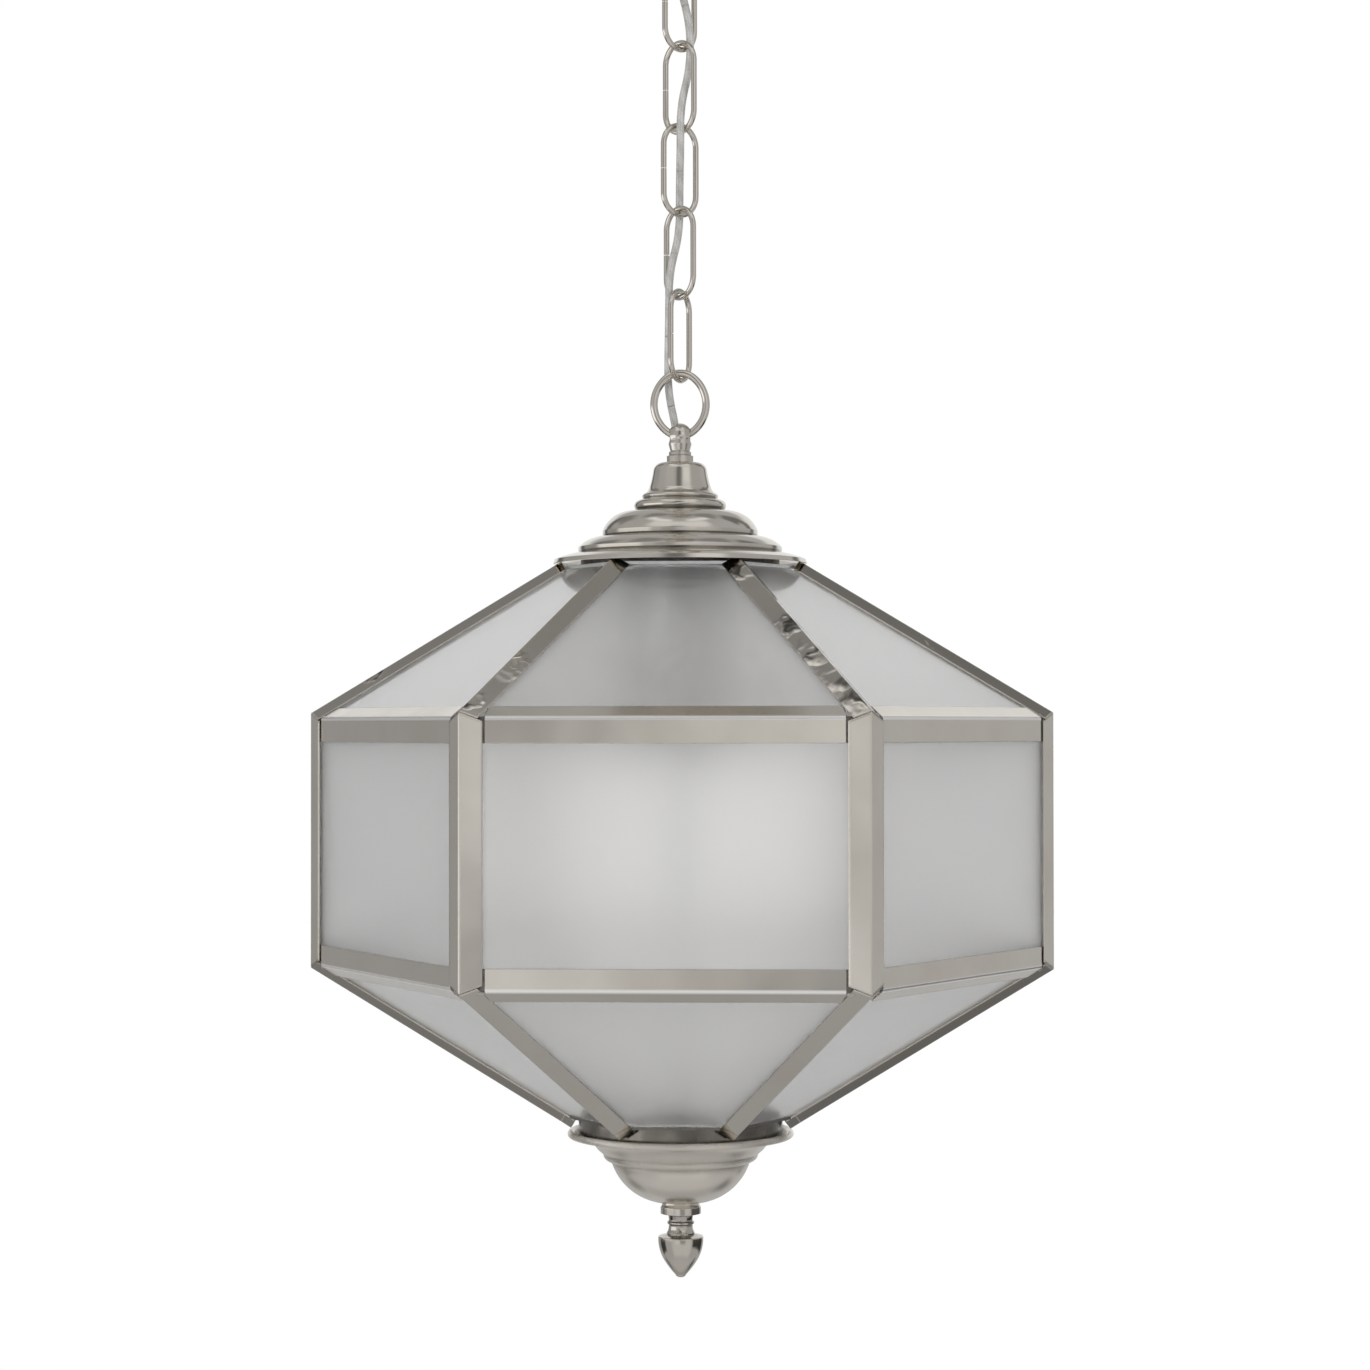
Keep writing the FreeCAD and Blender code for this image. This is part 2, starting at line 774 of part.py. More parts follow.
def rod_nuts():
    """One nut above the roof plate and one below the lamp plate."""
    body = new_body("rod_nuts")
    high = belt_top + neck_faces[1] + size.plate_thickness + size.face_gap
    low = holder_top() - size.nut_height
    hexagon_nut(body, "upper", size.nut_across, size.nut_height, high)
    hexagon_nut(body, "lower", size.nut_across, size.nut_height, low)


def lamp_place(lamp):
    angle = math.radians(size.lamp_azimuth.value + lamp * full_turn / lamp_count)
    return size.lamp_offset * math.cos(angle), size.lamp_offset * math.sin(angle)


def cluster_plate():
    body = new_body("cluster_plate")
    sketch = new_sketch(body, "XY_Plane", "plate")
    circle(sketch, (zero, zero), size.cluster_radius)
    circle(sketch, (zero, zero), size.rod_radius + size.hole_gap)
    for lamp in range(lamp_count):
        circle(sketch, lamp_place(lamp), size.holder_stud_radius + size.hole_gap)
    pad(body, sketch, size.plate_thickness, downwards=True)
    place_body(body, (zero, zero, belt_top + neck_faces[1] - size.face_gap))


def holder_top():
    return belt_top + neck_faces[1] - size.plate_thickness - 2 * size.face_gap


def lampholder(number):
    """Moulded holder, hung by a stud through the lamp plate, its socket open below."""
    stud = size.holder_stud_radius
    stud_height = size.plate_thickness
    outer = scaled(holder_shares, size.holder_radius, size.holder_length)
    bore = size.holder_bore_radius
    points = [(zero, stud_height), (stud, stud_height), (stud, zero)] + outer
    points += [(bore, -size.holder_length), (bore, -size.holder_floor), (zero, -size.holder_floor)]
    body = turned(f"lampholder_{number}", points)
    place_body(body, (*lamp_place(number - 1), holder_top()))


def lamp_caps():
    """Metal screw caps of the three lamps, in the holders."""
    body = new_body("lamp_caps")
    top = holder_top() - size.holder_floor - size.seat_gap
    sketch = new_sketch(body, "XY_Plane", "rounds")
    sketch.AttachmentOffset = FreeCAD.Placement(FreeCAD.Vector(0, 0, top.value), FreeCAD.Rotation())
    sketch.setExpression("AttachmentOffset.Base.z", top.rule)
    for lamp in range(lamp_count):
        circle(sketch, lamp_place(lamp), size.lamp_cap_radius)
    pad(body, sketch, size.lamp_cap_length, downwards=True)


def lamp_bulb(number):
    """Candle-shaped glass below a lamp's cap."""
    top = holder_top() - size.holder_floor - size.seat_gap - size.lamp_cap_length - size.face_gap
    neck = size.lamp_cap_radius - size.face_gap
    points = [(zero, zero), (neck, zero)] + scaled(bulb_shares, size.bulb_radius, size.bulb_length)
    body = turned(f"bulb_{number}", points)
    place_body(body, (*lamp_place(number - 1), top))


def folded_strip(sketch, ridge, leg, half_fold):
    """Section of a folded strip whose ridge points along the sketch's first axis."""
    wall = size.strip_wall
    across, along = half_fold.sine(), half_fold.cosine()
    far = (ridge - leg * along, leg * across)
    near = (far[0] - wall * across, far[1] - wall * along)
    outline(sketch, [(ridge, zero), far, near, (ridge - wall / across, zero), (near[0], -near[1]), (far[0], -far[1])])


def gable(sketch, peak, edge, up, reach):
    """Region beyond a post's pointed end, up or down, as wide as the strip."""
    wide = size.post_leg
    shoulder = peak - up * gable_share * wide
    outline(sketch, [(zero, peak), (wide, shoulder), (wide, edge + up * reach), (-wide, edge + up * reach),
                     (-wide, shoulder)])


def corner_post(number):
    """Upright strip over a corner of the belt, its ends cut like a gable."""
    half_fold = as_measure((full_turn / 2 - full_turn / side_count) / 2)
    body = new_body(f"corner_post_{number}")
    section = new_sketch(body, "XY_Plane", "section")
    folded_strip(section, size.cage_radius, size.post_leg, half_fold)
    pad(body, section, size.belt_height, both_ways=True)
    ends = new_sketch(body, "YZ_Plane", "ends")
    for up in (-1, 1):
        gable(ends, up * size.belt_height / 2, up * size.belt_height / 2, up, size.overrun)
    pocket_through(body, ends)
    place_body(body, (zero, zero, belt_middle), (number - 1) * full_turn / side_count)


def hip_bars(label, up):
    """Six sloping strips over the hips of the roof, or of the lower part when up is -1."""
    lift = math.degrees(math.atan(slopes[up].hip.value))
    start = up * (size.belt_height / 2 + size.ridge_lift)
    body = new_body(label)
    section = new_sketch(body, "XY_Plane", "section")
    turn = lift - full_turn / 4 if up > 0 else full_turn / 4 - lift
    section.AttachmentOffset = FreeCAD.Placement(
        FreeCAD.Vector(size.cage_radius.value, 0, start.value), FreeCAD.Rotation(FreeCAD.Vector(0, 1, 0), turn)
    )
    section.setExpression("AttachmentOffset.Base.x", size.cage_radius.rule)
    section.setExpression("AttachmentOffset.Base.z", start.rule)
    folded_strip(section, zero, size.hip_leg, size.strip_half_fold)
    bar = pad(body, section, (size.cage_radius - size.hip_end_radius) * slopes[up].hip_slant, downwards=up < 0)
    foot = new_sketch(body, "YZ_Plane", "foot")
    wide = size.post_leg
    peak = up * (size.belt_height / 2 + size.ridge_lift)
    shoulder = peak - up * gable_share * wide
    outline(foot, [(zero, peak), (wide, shoulder), (wide, shoulder - up * wide), (-wide, shoulder - up * wide),
                   (-wide, shoulder)])
    cut = pocket_through(body, foot)
    six_times(body, [bar, cut])
    place_body(body, (zero, zero, belt_middle))


def belt_rails(label, up):
    """Six level strips over the upper edge of the belt, or the lower one when up is -1."""
    wall = size.strip_wall
    level = 2 * size.strip_half_fold - full_turn / 4
    flat, steep = level.cosine(), level.sine()
    edge = up * size.belt_height / 2
    outer = rail_apothem
    fit = size.glass_gap + glass_rise(up, outer - wall * steep) + wall * flat
    top_leg = fit / (steep - flat * slopes[up].face)
    body = new_body(label)
    section = new_sketch(body, "XZ_Plane", "section")
    outline(section, [
        (outer, edge), (outer, edge - up * size.rail_leg), (outer - wall, edge - up * size.rail_leg),
        (outer - wall, edge + up * wall * (steep - 1) / flat),
        (outer - top_leg * flat - wall * steep, edge + up * (top_leg * steep - wall * flat)),
        (outer - top_leg * flat, edge + up * top_leg * steep),
    ])
    half_side = cage_apothem * half_side_share - size.post_leg - size.rail_end_gap
    rail = pad(body, section, 2 * half_side, both_ways=True)
    # the top leg stops short of the hip strips, whose edges run towards the middle
    ends = new_sketch(body, "XY_Plane", "mitres")
    room = (size.hip_leg * size.strip_half_fold.sine() + 2 * size.seat_gap) / face_share
    bound = half_side + 3 * size.seat_gap
    inner = outer - size.rail_leg - size.overrun
    for side in (-1, 1):
        outline(ends, [((bound + room) / half_side_share, side * bound), (inner, side * bound),
                       (inner, side * (inner * half_side_share - room))])
    cut = pocket_through(body, ends)
    six_times(body, [rail, cut])
    place_body(body, (zero, zero, belt_middle), full_turn / side_count / 2)


def pane_frame(apothem, height, rise, up, azimuth):
    """Placement of a pane whose sketch starts at the middle of its outer edge by the belt."""
    slope = math.atan(rise) if rise is not None else math.pi / 2
    along = FreeCAD.Vector(0, up, 0)
    climb = FreeCAD.Vector(-math.cos(slope), 0, up * math.sin(slope))
    outward = along.cross(climb)
    tilt = FreeCAD.Rotation(along, climb, outward, "ZXY")
    turn = FreeCAD.Rotation(FreeCAD.Vector(0, 0, 1), azimuth)
    return FreeCAD.Placement(turn.multVec(FreeCAD.Vector(apothem, 0, height)), turn.multiply(tilt))


def pane(label, points, frame):
    body = new_body(label)
    sketch = new_sketch(body, "XY_Plane", "cut")
    outline(sketch, points)
    pad(body, sketch, size.glass_thickness, downwards=True)
    body.Placement = frame


def roof_pane(label, up, azimuth):
    low_apothem = rail_apothem - size.pane_inset
    low = low_apothem * half_side_share - size.pane_side_gap
    high = size.pane_top_apothem * half_side_share - size.pane_side_gap
    climb = (low_apothem - size.pane_top_apothem) * slopes[up].face_slant
    snip_in, snip_down = size.pane_snip_width, size.pane_snip_height
    shoulder = high + (low - high) * snip_down / climb
    height = up * (size.belt_height / 2 + glass_rise(up, low_apothem))
    frame = pane_frame(low_apothem.value, (belt_middle + height).value, slopes[up].face.value, up, azimuth)
    pane(label, [(-low, zero), (low, zero), (shoulder, climb - snip_down), (high - snip_in, climb),
                 (snip_in - high, climb), (-shoulder, climb - snip_down)], frame)


def belt_pane(label, azimuth):
    low_apothem = rail_apothem - size.pane_inset
    ends = {}
    for up in slopes:
        edge_drop = size.glass_thickness / slopes[up].face_slant - glass_rise(up, low_apothem)
        ends[up] = up * (size.belt_height / 2 - edge_drop - size.seat_gap)
    height = ends[1] - ends[-1]
    half_width = (belt_glass_apothem - size.glass_thickness) * half_side_share - size.pane_side_gap / 2
    frame = pane_frame(belt_glass_apothem.value, (belt_middle + ends[-1]).value, None, 1, azimuth)
    pane(label, [(-half_width, zero), (half_width, zero), (half_width, height), (-half_width, height)], frame)


def lower_ring():
    """Hexagonal ring with a strap across and a lip that the dish seats against."""
    top = -size.belt_height / 2 - neck_faces[-1]
    body = new_body("lower_ring")
    plate = new_sketch(body, "XY_Plane", "plate")
    hexagon(plate, size.plate_radius)
    circle(plate, (zero, zero), size.access_radius)
    pad(body, plate, size.plate_thickness, downwards=True)
    strap = new_sketch(body, "XY_Plane", "strap")
    rectangle(strap, (zero, zero), 2 * size.access_radius + size.strap_width / 2, size.strap_width)
    circle(strap, (zero, zero), size.rod_radius + size.seat_gap)
    pad(body, strap, size.plate_thickness, downwards=True)
    lip_drop = size.dish_hang + dish_ledge_share * size.dish_depth - size.spun_wall - size.seat_gap
    lip = new_sketch(body, "XY_Plane", "lip")
    circle(lip, (zero, zero), size.lip_radius)
    circle(lip, (zero, zero), size.lip_radius - size.plate_thickness)
    pad(body, lip, size.plate_thickness + lip_drop, downwards=True)
    place_body(body, (zero, zero, belt_middle + top))


def bottom_dish():
    """Spun dish with a rolled bead round its rim."""
    hole = size.rod_radius + size.seat_gap
    bead = size.dish_bead_radius
    middle = size.dish_radius - bead
    outer = scaled(dish_shares, size.dish_radius, size.dish_depth)
    points = [(hole, -size.dish_depth)] + outer
    points += [(middle, -2 * bead), (size.dish_radius, -bead, bead), (middle, zero, bead), (middle - bead, -bead, bead)]
    points += inner_skin(outer, size.spun_wall, 1) + [(hole, -size.dish_depth + size.spun_wall)]
    body = turned("bottom_dish", points)
    place_body(body, (zero, zero, dish_rim))


def finial():
    """Acorn nut on the end of the rod."""
    bore = size.rod_radius + size.thread_gap
    points = [(bore, zero)] + scaled(finial_shares, size.finial_radius, size.finial_length)
    points += [(zero, -size.finial_bore_depth), (bore, -size.finial_bore_depth)]
    body = turned("finial", points)
    place_body(body, (zero, zero, finial_top))


def flex_path():
    """Straight runs joined by arcs as large as the runs allow; also gives the tightest bend."""
    points = [FreeCAD.Vector(*point) for point in flex_route]
    edges = []
    bends = []
    start = points[0]
    for before, corner, after in zip(points, points[1:], points[2:]):
        inward, outward = (corner - before).normalize(), (after - corner).normalize()
        half_turn = inward.getAngle(outward) / 2
        reach = bend_share * min((corner - before).Length, (after - corner).Length)
        bends.append(reach / math.tan(half_turn))
        leave, arrive = corner - inward * reach, corner + outward * reach
        sag = bends[-1] * (1 / math.cos(half_turn) - 1)
        middle = corner + (outward - inward).normalize() * sag
        edges.append(Part.LineSegment(start, leave).toShape())
        edges.append(Part.Arc(leave, middle, arrive).toShape())
        start = arrive
    edges.append(Part.LineSegment(start, points[-1]).toShape())
    return Part.Wire(edges), bends


def flex_cord():
    """The round flex, from the canopy to the cap."""
    path, bends = flex_path()
    radius = size.flex_radius.value
    direction = FreeCAD.Vector(*flex_route[1]) - FreeCAD.Vector(*flex_route[0])
    section = Part.Wire(Part.Circle(FreeCAD.Vector(*flex_route[0]), direction, radius).toShape())
    cord = document.addObject("Part::Feature", "flex_cord")
    cord.Label = "flex_cord"
    cord.Shape = path.makePipeShell([section], True, False)
    cord.Placement = FreeCAD.Placement()
    parts.append(cord)
    drawn = math.pi * radius ** 2 * path.Length
    print(f"flex: {path.Length:.1f} long, bends {min(bends):.1f} to {max(bends):.1f},"
          f" volume {cord.Shape.Volume:.1f} of {drawn:.1f}")


def build():
    ceiling_bracket()
    stem_nipple()
    bracket_nut()
    ceiling_canopy()
    canopy_loop()
    terminal_block()
    cord_grip()
    for number in range(1, link_count + 1):
        chain_link(number)
    suspension_ring()
    ball_loop()
    cord_bush()
    top_cap()
    coupling_nut()
    roof_plate()
    centre_rod()
    rod_nuts()
    cluster_plate()
    for number in range(1, lamp_count + 1):
        lampholder(number)
        lamp_bulb(number)
    lamp_caps()
    for number in range(1, side_count + 1):
        azimuth = (number - 0.5) * full_turn / side_count
        belt_pane(f"belt_pane_{number}", azimuth)
        roof_pane(f"upper_pane_{number}", 1, azimuth)
        roof_pane(f"lower_pane_{number}", -1, azimuth)
        corner_post(number)
    hip_bars("upper_hip_bars", 1)
    hip_bars("lower_hip_bars", -1)
    belt_rails("upper_rails", 1)
    belt_rails("lower_rails", -1)
    lower_ring()
    bottom_dish()
    finial()
    flex_cord()


def check_and_write():
    """Stops at a failed object, and writes each sub-part to its own file."""
    document.recompute()
    for item in document.Objects:
        if {"Invalid", "Error"} & set(item.State):
            raise RuntimeError(f"{item.Name} is {item.State}")
    for part in parts:
        if part.Shape.isNull() or not part.Shape.isValid():
            raise RuntimeError(f"{part.Label} has no valid shape")
    os.makedirs("parts", exist_ok=True)
    for part in parts:
        part.Shape.exportStep(f"parts/{part.Label}.step")
    print(f"{len(parts)} sub-parts, {sum(len(part.Shape.Solids) for part in parts)} solids")


build()
check_and_write()
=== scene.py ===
import math

import bpy
import numpy as np
from mathutils import Matrix, Vector


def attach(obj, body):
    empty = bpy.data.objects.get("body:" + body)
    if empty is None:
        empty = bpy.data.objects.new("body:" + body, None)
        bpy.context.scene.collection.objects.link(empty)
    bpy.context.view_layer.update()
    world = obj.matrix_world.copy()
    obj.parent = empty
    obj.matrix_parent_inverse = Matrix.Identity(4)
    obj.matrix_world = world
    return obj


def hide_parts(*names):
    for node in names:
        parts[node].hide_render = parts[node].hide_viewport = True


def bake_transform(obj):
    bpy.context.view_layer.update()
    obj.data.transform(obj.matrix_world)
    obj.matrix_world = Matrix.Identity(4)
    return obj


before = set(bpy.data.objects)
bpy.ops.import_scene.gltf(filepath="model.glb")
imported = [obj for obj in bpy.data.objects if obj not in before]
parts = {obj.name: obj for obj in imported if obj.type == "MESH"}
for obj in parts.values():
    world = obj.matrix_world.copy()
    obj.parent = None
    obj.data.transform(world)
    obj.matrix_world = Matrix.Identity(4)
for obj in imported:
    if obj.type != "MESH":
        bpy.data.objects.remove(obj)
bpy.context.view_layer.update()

scene = bpy.context.scene
scene.view_settings.view_transform = "Standard"
print("frame loaded:", len(parts), "parts")


# camera: level with the upper rails, a little to the right of the middle, as the photograph shows it

shot = {
    "place": (0.06886, -1.59053, -0.44903),  # metres
    "yaw": 2.392,  # degrees, to the left
    "pitch": 0.768,  # degrees, upwards
    "roll": -0.052,
    "lens": 81.788,  # mm
    "sensor": 36.0,
    "reach": 50,  # metres
}


def aimCamera():
    eye = bpy.data.objects.new("shotCamera", bpy.data.cameras.new("shotCamera"))
    scene.collection.objects.link(eye)
    eye.data.sensor_width = shot["sensor"]
    eye.data.lens = shot["lens"]
    eye.data.clip_end = shot["reach"]
    turn = Matrix.Rotation(math.radians(shot["yaw"]), 4, "Z")
    tilt = Matrix.Rotation(math.radians(90 + shot["pitch"]), 4, "X")
    roll = Matrix.Rotation(math.radians(shot["roll"]), 4, "Z")
    eye.matrix_world = Matrix.Translation(shot["place"]) @ turn @ tilt @ roll
    scene.camera = eye


aimCamera()
print("camera placed")


# node helpers


def newFinish(name):
    finish = bpy.data.materials.new(name)
    finish.use_nodes = True
    tree = finish.node_tree
    tree.nodes.clear()
    out = tree.nodes.new("ShaderNodeOutputMaterial")
    shader = tree.nodes.new("ShaderNodeBsdfPrincipled")
    tree.links.new(shader.outputs["BSDF"], out.inputs["Surface"])
    return finish, tree, shader


# puts another surface in the place of the finish's own shader
def showInstead(tree, surface):
    out = [n for n in tree.nodes if n.bl_idname == "ShaderNodeOutputMaterial"][0]
    tree.links.new(surface, out.inputs["Surface"])


def node(tree, kind, links=None, values=None, **settings):
    made = tree.nodes.new("ShaderNode" + kind)
    for key, value in settings.items():
        setattr(made, key, value)
    for key, value in (values or {}).items():
        made.inputs[key].default_value = value
    for key, source in (links or {}).items():
        tree.links.new(source, made.inputs[key])
    return made


def setSockets(shader, **values):
    for key, value in values.items():
        shader.inputs[key.replace("_", " ")].default_value = value


def pale(rgb, alpha=1.0):
    return (*rgb, alpha)


# one Math node; each value is a number or another node's output
def calc(tree, operation, *values, **settings):
    made = node(tree, "Math", operation=operation, **settings)
    for place, value in enumerate(values):
        if isinstance(value, (int, float)):
            made.inputs[place].default_value = value
        else:
            tree.links.new(value, made.inputs[place])
    return made.outputs[0]


# low..high mapped to start..end, held at both ends
def mapped(tree, source, low, high, start=0.0, end=1.0, easing="LINEAR"):
    return node(
        tree, "MapRange", {"Value": source},
        {"From Min": low, "From Max": high, "To Min": start, "To Max": end}, interpolation_type=easing,
    ).outputs["Result"]


def eased(tree, source, low, high, start=0.0, end=1.0):
    return mapped(tree, source, low, high, start, end, "SMOOTHSTEP")


def noise(tree, place, scale, detail=2.0, out="Fac", **more):
    return node(tree, "TexNoise", {"Vector": place}, {"Scale": scale, "Detail": detail, **more}).outputs[out]


noiseBand = (0.3, 0.7)  # nearly all of a noise lies between these


# a noise's band mapped to low..high
def spread(tree, source, low, high):
    return mapped(tree, source, *noiseBand, low, high)


def colourMix(tree, factor, first, second):
    ramp = node(tree, "ValToRGB", {"Fac": factor})
    for stop, place, tint in zip(ramp.color_ramp.elements, noiseBand, (first, second)):
        stop.position = place
        stop.color = pale(tint)
    return ramp.outputs["Color"]


def objectPlace(tree):
    return node(tree, "TexCoord").outputs["Object"]


def heightOf(tree, place):
    return node(tree, "SeparateXYZ", {"Vector": place}).outputs["Z"]


# distance from the part's upright axis
def radiusOf(tree, place):
    flat = node(tree, "VectorMath", {0: place}, {1: (1.0, 1.0, 0.0)}, operation="MULTIPLY").outputs["Vector"]
    return node(tree, "VectorMath", {0: flat}, operation="LENGTH").outputs["Value"]


raySamples = {"edge": 6, "fold": 8}


def roundedEdge(tree, radius):
    return node(tree, "Bevel", values={"Radius": radius}, samples=raySamples["edge"]).outputs["Normal"]


def bumpInto(tree, shader, height, depth, strength=1.0, over=None):
    bump = node(tree, "Bump", {"Height": height}, {"Strength": strength, "Distance": depth})
    if over is not None:
        tree.links.new(over, bump.inputs["Normal"])
    tree.links.new(bump.outputs["Normal"], shader.inputs["Normal"])
    return bump.outputs["Normal"]


def scaleBase(tree, shader, gain):
    base = shader.inputs["Base Color"].links[0].from_socket
    scaled = node(tree, "VectorMath", {0: base}, operation="SCALE")
    if isinstance(gain, float):
        scaled.inputs["Scale"].default_value = gain
    else:
        tree.links.new(gain, scaled.inputs["Scale"])
    tree.links.new(scaled.outputs["Vector"], shader.inputs["Base Color"])


# lays a tint over the base colour, by share; a colour Mix node has its sockets at 0, 6, 7 and 2
def tintInto(tree, shader, share, tint):
    mixed = tree.nodes.new("ShaderNodeMix")
    mixed.data_type = "RGBA"
    tree.links.new(share, mixed.inputs[0])
    tree.links.new(shader.inputs["Base Color"].links[0].from_socket, mixed.inputs[6])
    mixed.inputs[7].default_value = pale(tint)
    tree.links.new(mixed.outputs[2], shader.inputs["Base Color"])


# nickel: one plating for all, polished or dulled by the way each piece is made

nickelLook = {
    "tint": (0.690, 0.655, 0.600),
    "dullTint": (0.640, 0.600, 0.535),
    "cloud": {"scale": 22.0, "detail": 3.0, "Roughness": 0.55},
}


def nickelBase(name, rough):
    finish, tree, shader = newFinish(name)
    place = objectPlace(tree)
    cloud = noise(tree, place, **nickelLook["cloud"])
    tree.links.new(colourMix(tree, cloud, nickelLook["tint"], nickelLook["dullTint"]), shader.inputs["Base Color"])
    tree.links.new(spread(tree, cloud, *rough), shader.inputs["Roughness"])
    setSockets(shader, Metallic=1.0)
    return finish, tree, shader, place


stripLook = {
    "rough": (0.10, 0.17),
    "edge": 0.0009,  # metres, how far a fold's edge catches the light
    "wave": {"scale": 26.0, "detail": 1.5, "Roughness": 0.4},
    "waveDepth": (0.0011, 0.35),  # metres, strength
}


# folded strip: slow waves left by rolling and soldering, and an edge that is a little round
def stripNickel(name="stripNickel", edge=stripLook["edge"], lean=False, folds=()):
    finish, tree, shader, place = nickelBase(name, stripLook["rough"])
    soft = roundedEdge(tree, edge)
    if lean:
        soft = leaning(tree, shader, place, soft)
    bumpInto(tree, shader, noise(tree, place, **stripLook["wave"]), *stripLook["waveDepth"], soft)
    if folds:
        foldHighlight(tree, shader, place, folds)
    return finish


postLook = {
    "leanLeft": -0.09,  # slope of the posts on the left
    "leanRight": 0.09,  # slope at the foot of the posts on the right, none at their top
    "stand": 0.09,  # metres from the middle to a front post
    "top": -0.4422,  # heights of the posts' ends
    "foot": -0.5722,
    "edge": 0.0018,  # metres
}


# each post was soldered a little off its plane: height = slope * (x - stand), the right ones twisted to the foot
def leaning(tree, shader, place, under):
    look = postLook
    axes = node(tree, "SeparateXYZ", {"Vector": place})
    right = calc(tree, "GREATER_THAN", axes.outputs["X"], 0.0)
    twist = mapped(tree, axes.outputs["Z"], look["top"], look["foot"], 0.0, look["leanRight"])
    slope = node(tree, "Mix", {"Factor": right, "B": twist}, {"A": look["leanLeft"]}, data_type="FLOAT")
    stand = node(tree, "Mix", {"Factor": right}, {"A": -look["stand"], "B": look["stand"]}, data_type="FLOAT")
    off = calc(tree, "SUBTRACT", axes.outputs["X"], stand.outputs[0])
    return bumpInto(tree, shader, calc(tree, "MULTIPLY", slope.outputs[0], off), 1.0, 1.0, under)


foldLook = {
    # tint of the painted highlight
    "tint": (0.97, 0.95, 0.92),
    "rough": 0.34,
    "core": 0.0005,  # metres from the fold's middle, where the painted highlight is full
    "fade": 0.0015,  # metres from it, where the painted highlight ends
    "edge": 0.0004,
    "inset": 0.0002,  # metres from the fold's outer line to its middle
}


# painted highlight along a fold: the base colour is lifted to a bright tint, and the plating is a little dull there
def foldHighlight(tree, shader, place, folds):
    look = foldLook
    rough = shader.inputs["Roughness"].links[0].from_socket
    height = heightOf(tree, place)
    away = [calc(tree, "ABSOLUTE", calc(tree, "SUBTRACT", height, fold)) for fold in folds]
    near = calc(tree, "MINIMUM", *away)
    share = eased(tree, near, look["core"], look["fade"], 1.0, 0.0)
    tintInto(tree, shader, share, look["tint"])
    dull = node(tree, "Mix", {"Factor": share, "A": rough}, {"B": look["rough"]}, data_type="FLOAT")
    tree.links.new(dull.outputs[0], shader.inputs["Roughness"])


hipLook = {
    "rough": (0.07, 0.13),
    "wave": {"scale": 24.0, "detail": 1.0},
    "waveDepth": (0.0016, 0.35),  # metres, strength
    "drift": {"scale": 120.0, "detail": 1.0, "out": "Color"},  # what makes a mark's outline uneven
    "driftReach": 0.014,  # metres
    "swirl": {"scale": 52.0, "detail": 1.0, "Distortion": 1.1},
    "swirlDepth": (0.0008, 0.6),  # metres, strength
    "stain": (0.15, 0.14, 0.125),
    "stainBand": (0.45, 0.62),  # part of the swirl that is stained
    "core": 0.45,  # share of a mark's radius that is marked all over
    # direction in degrees, share of the strip's length from its top, radius in metres
    "marks": (
        (300, 0.06, 0.011), (300, 0.44, 0.010), (300, 0.60, 0.014), (300, 0.77, 0.013), (300, 0.93, 0.012),
        (240, 0.70, 0.014), (240, 0.92, 0.008), (60, 0.40, 0.010), (120, 0.65, 0.011), (0, 0.55, 0.010),
        (180, 0.75, 0.009),
    ),
    "top": (0.061, -0.367),  # radius and height of the ridge
    "foot": (0.190, -0.442),
}


# where on the ridge a mark sits: top + share * (foot - top), turned to its direction
def markPlace(turn, share):
    (topRadius, topHeight), (footRadius, footHeight) = hipLook["top"], hipLook["foot"]
    radius = topRadius + share * (footRadius - topRadius)
    height = topHeight + share * (footHeight - topHeight)
    return (radius * math.cos(math.radians(turn)), radius * math.sin(math.radians(turn)), height)


# upper hip strips: smooth lengths, with burnt and dented marks where the iron rested
def hipNickel():
    look = hipLook
    finish, tree, shader, place = nickelBase("hipNickel", look["rough"])
    soft = roundedEdge(tree, stripLook["edge"])
    soft = bumpInto(tree, shader, noise(tree, place, **look["wave"]), *look["waveDepth"], soft)
    drift = noise(tree, place, **look["drift"])
    middle = node(tree, "VectorMath", {0: drift}, {1: (0.5, 0.5, 0.5)}, operation="SUBTRACT").outputs["Vector"]
    slid = node(tree, "VectorMath", {0: middle, 1: place}, {"Scale": look["driftReach"]}, operation="SCALE")
    bent = node(tree, "VectorMath", {0: place, 1: slid.outputs["Vector"]}, operation="ADD").outputs["Vector"]
    worst = None
    for turn, share, radius in look["marks"]:
        far = node(tree, "VectorMath", {0: bent}, {1: markPlace(turn, share)}, operation="DISTANCE")
        near = eased(tree, far.outputs["Value"], radius * look["core"], radius, 1.0, 0.0)
        worst = calc(tree, "MAXIMUM", worst, near) if worst else near
    swirl = noise(tree, bent, **look["swirl"])
    bumpInto(tree, shader, calc(tree, "MULTIPLY", swirl, worst), *look["swirlDepth"], soft)
    burnt = eased(tree, swirl, *look["stainBand"])
    tintInto(tree, shader, calc(tree, "MULTIPLY", burnt, worst), look["stain"])
    return finish


spunLook = {
    "rings": {"scale": 520.0},
    "ringStrength": 0.6,
    "ripple": {"scale": 18.0, "detail": 1.0},
    "rippleDepth": (0.0008, 0.25),  # metres, strength
    "foldShadeBand": (0.35, 0.9),  # share of open sky between full painted shade and none
}

# roughness, depth of the rings, how far edges are softened, tone and reach of the painted shade in the folds, gain of
# the tint: painted light, lighter on the dish and darker on the turned parts
spunKinds = {
    "spunNickel": {"rough": (0.09, 0.16), "rings": 0.000015, "soften": 0.0004, "foldShade": (0.45, 0.006), "gain": 1.0},
    "dishNickel": {"rough": (0.20, 0.28), "rings": 0.000004, "soften": 0.006, "foldShade": (0.97, 0.006), "gain": 1.13},
    "turnedNickel": {"rough": (0.08, 0.14), "rings": 0.00001, "soften": 0.0004, "foldShade": (0.20, 0.012), "gain": 0.92},
}
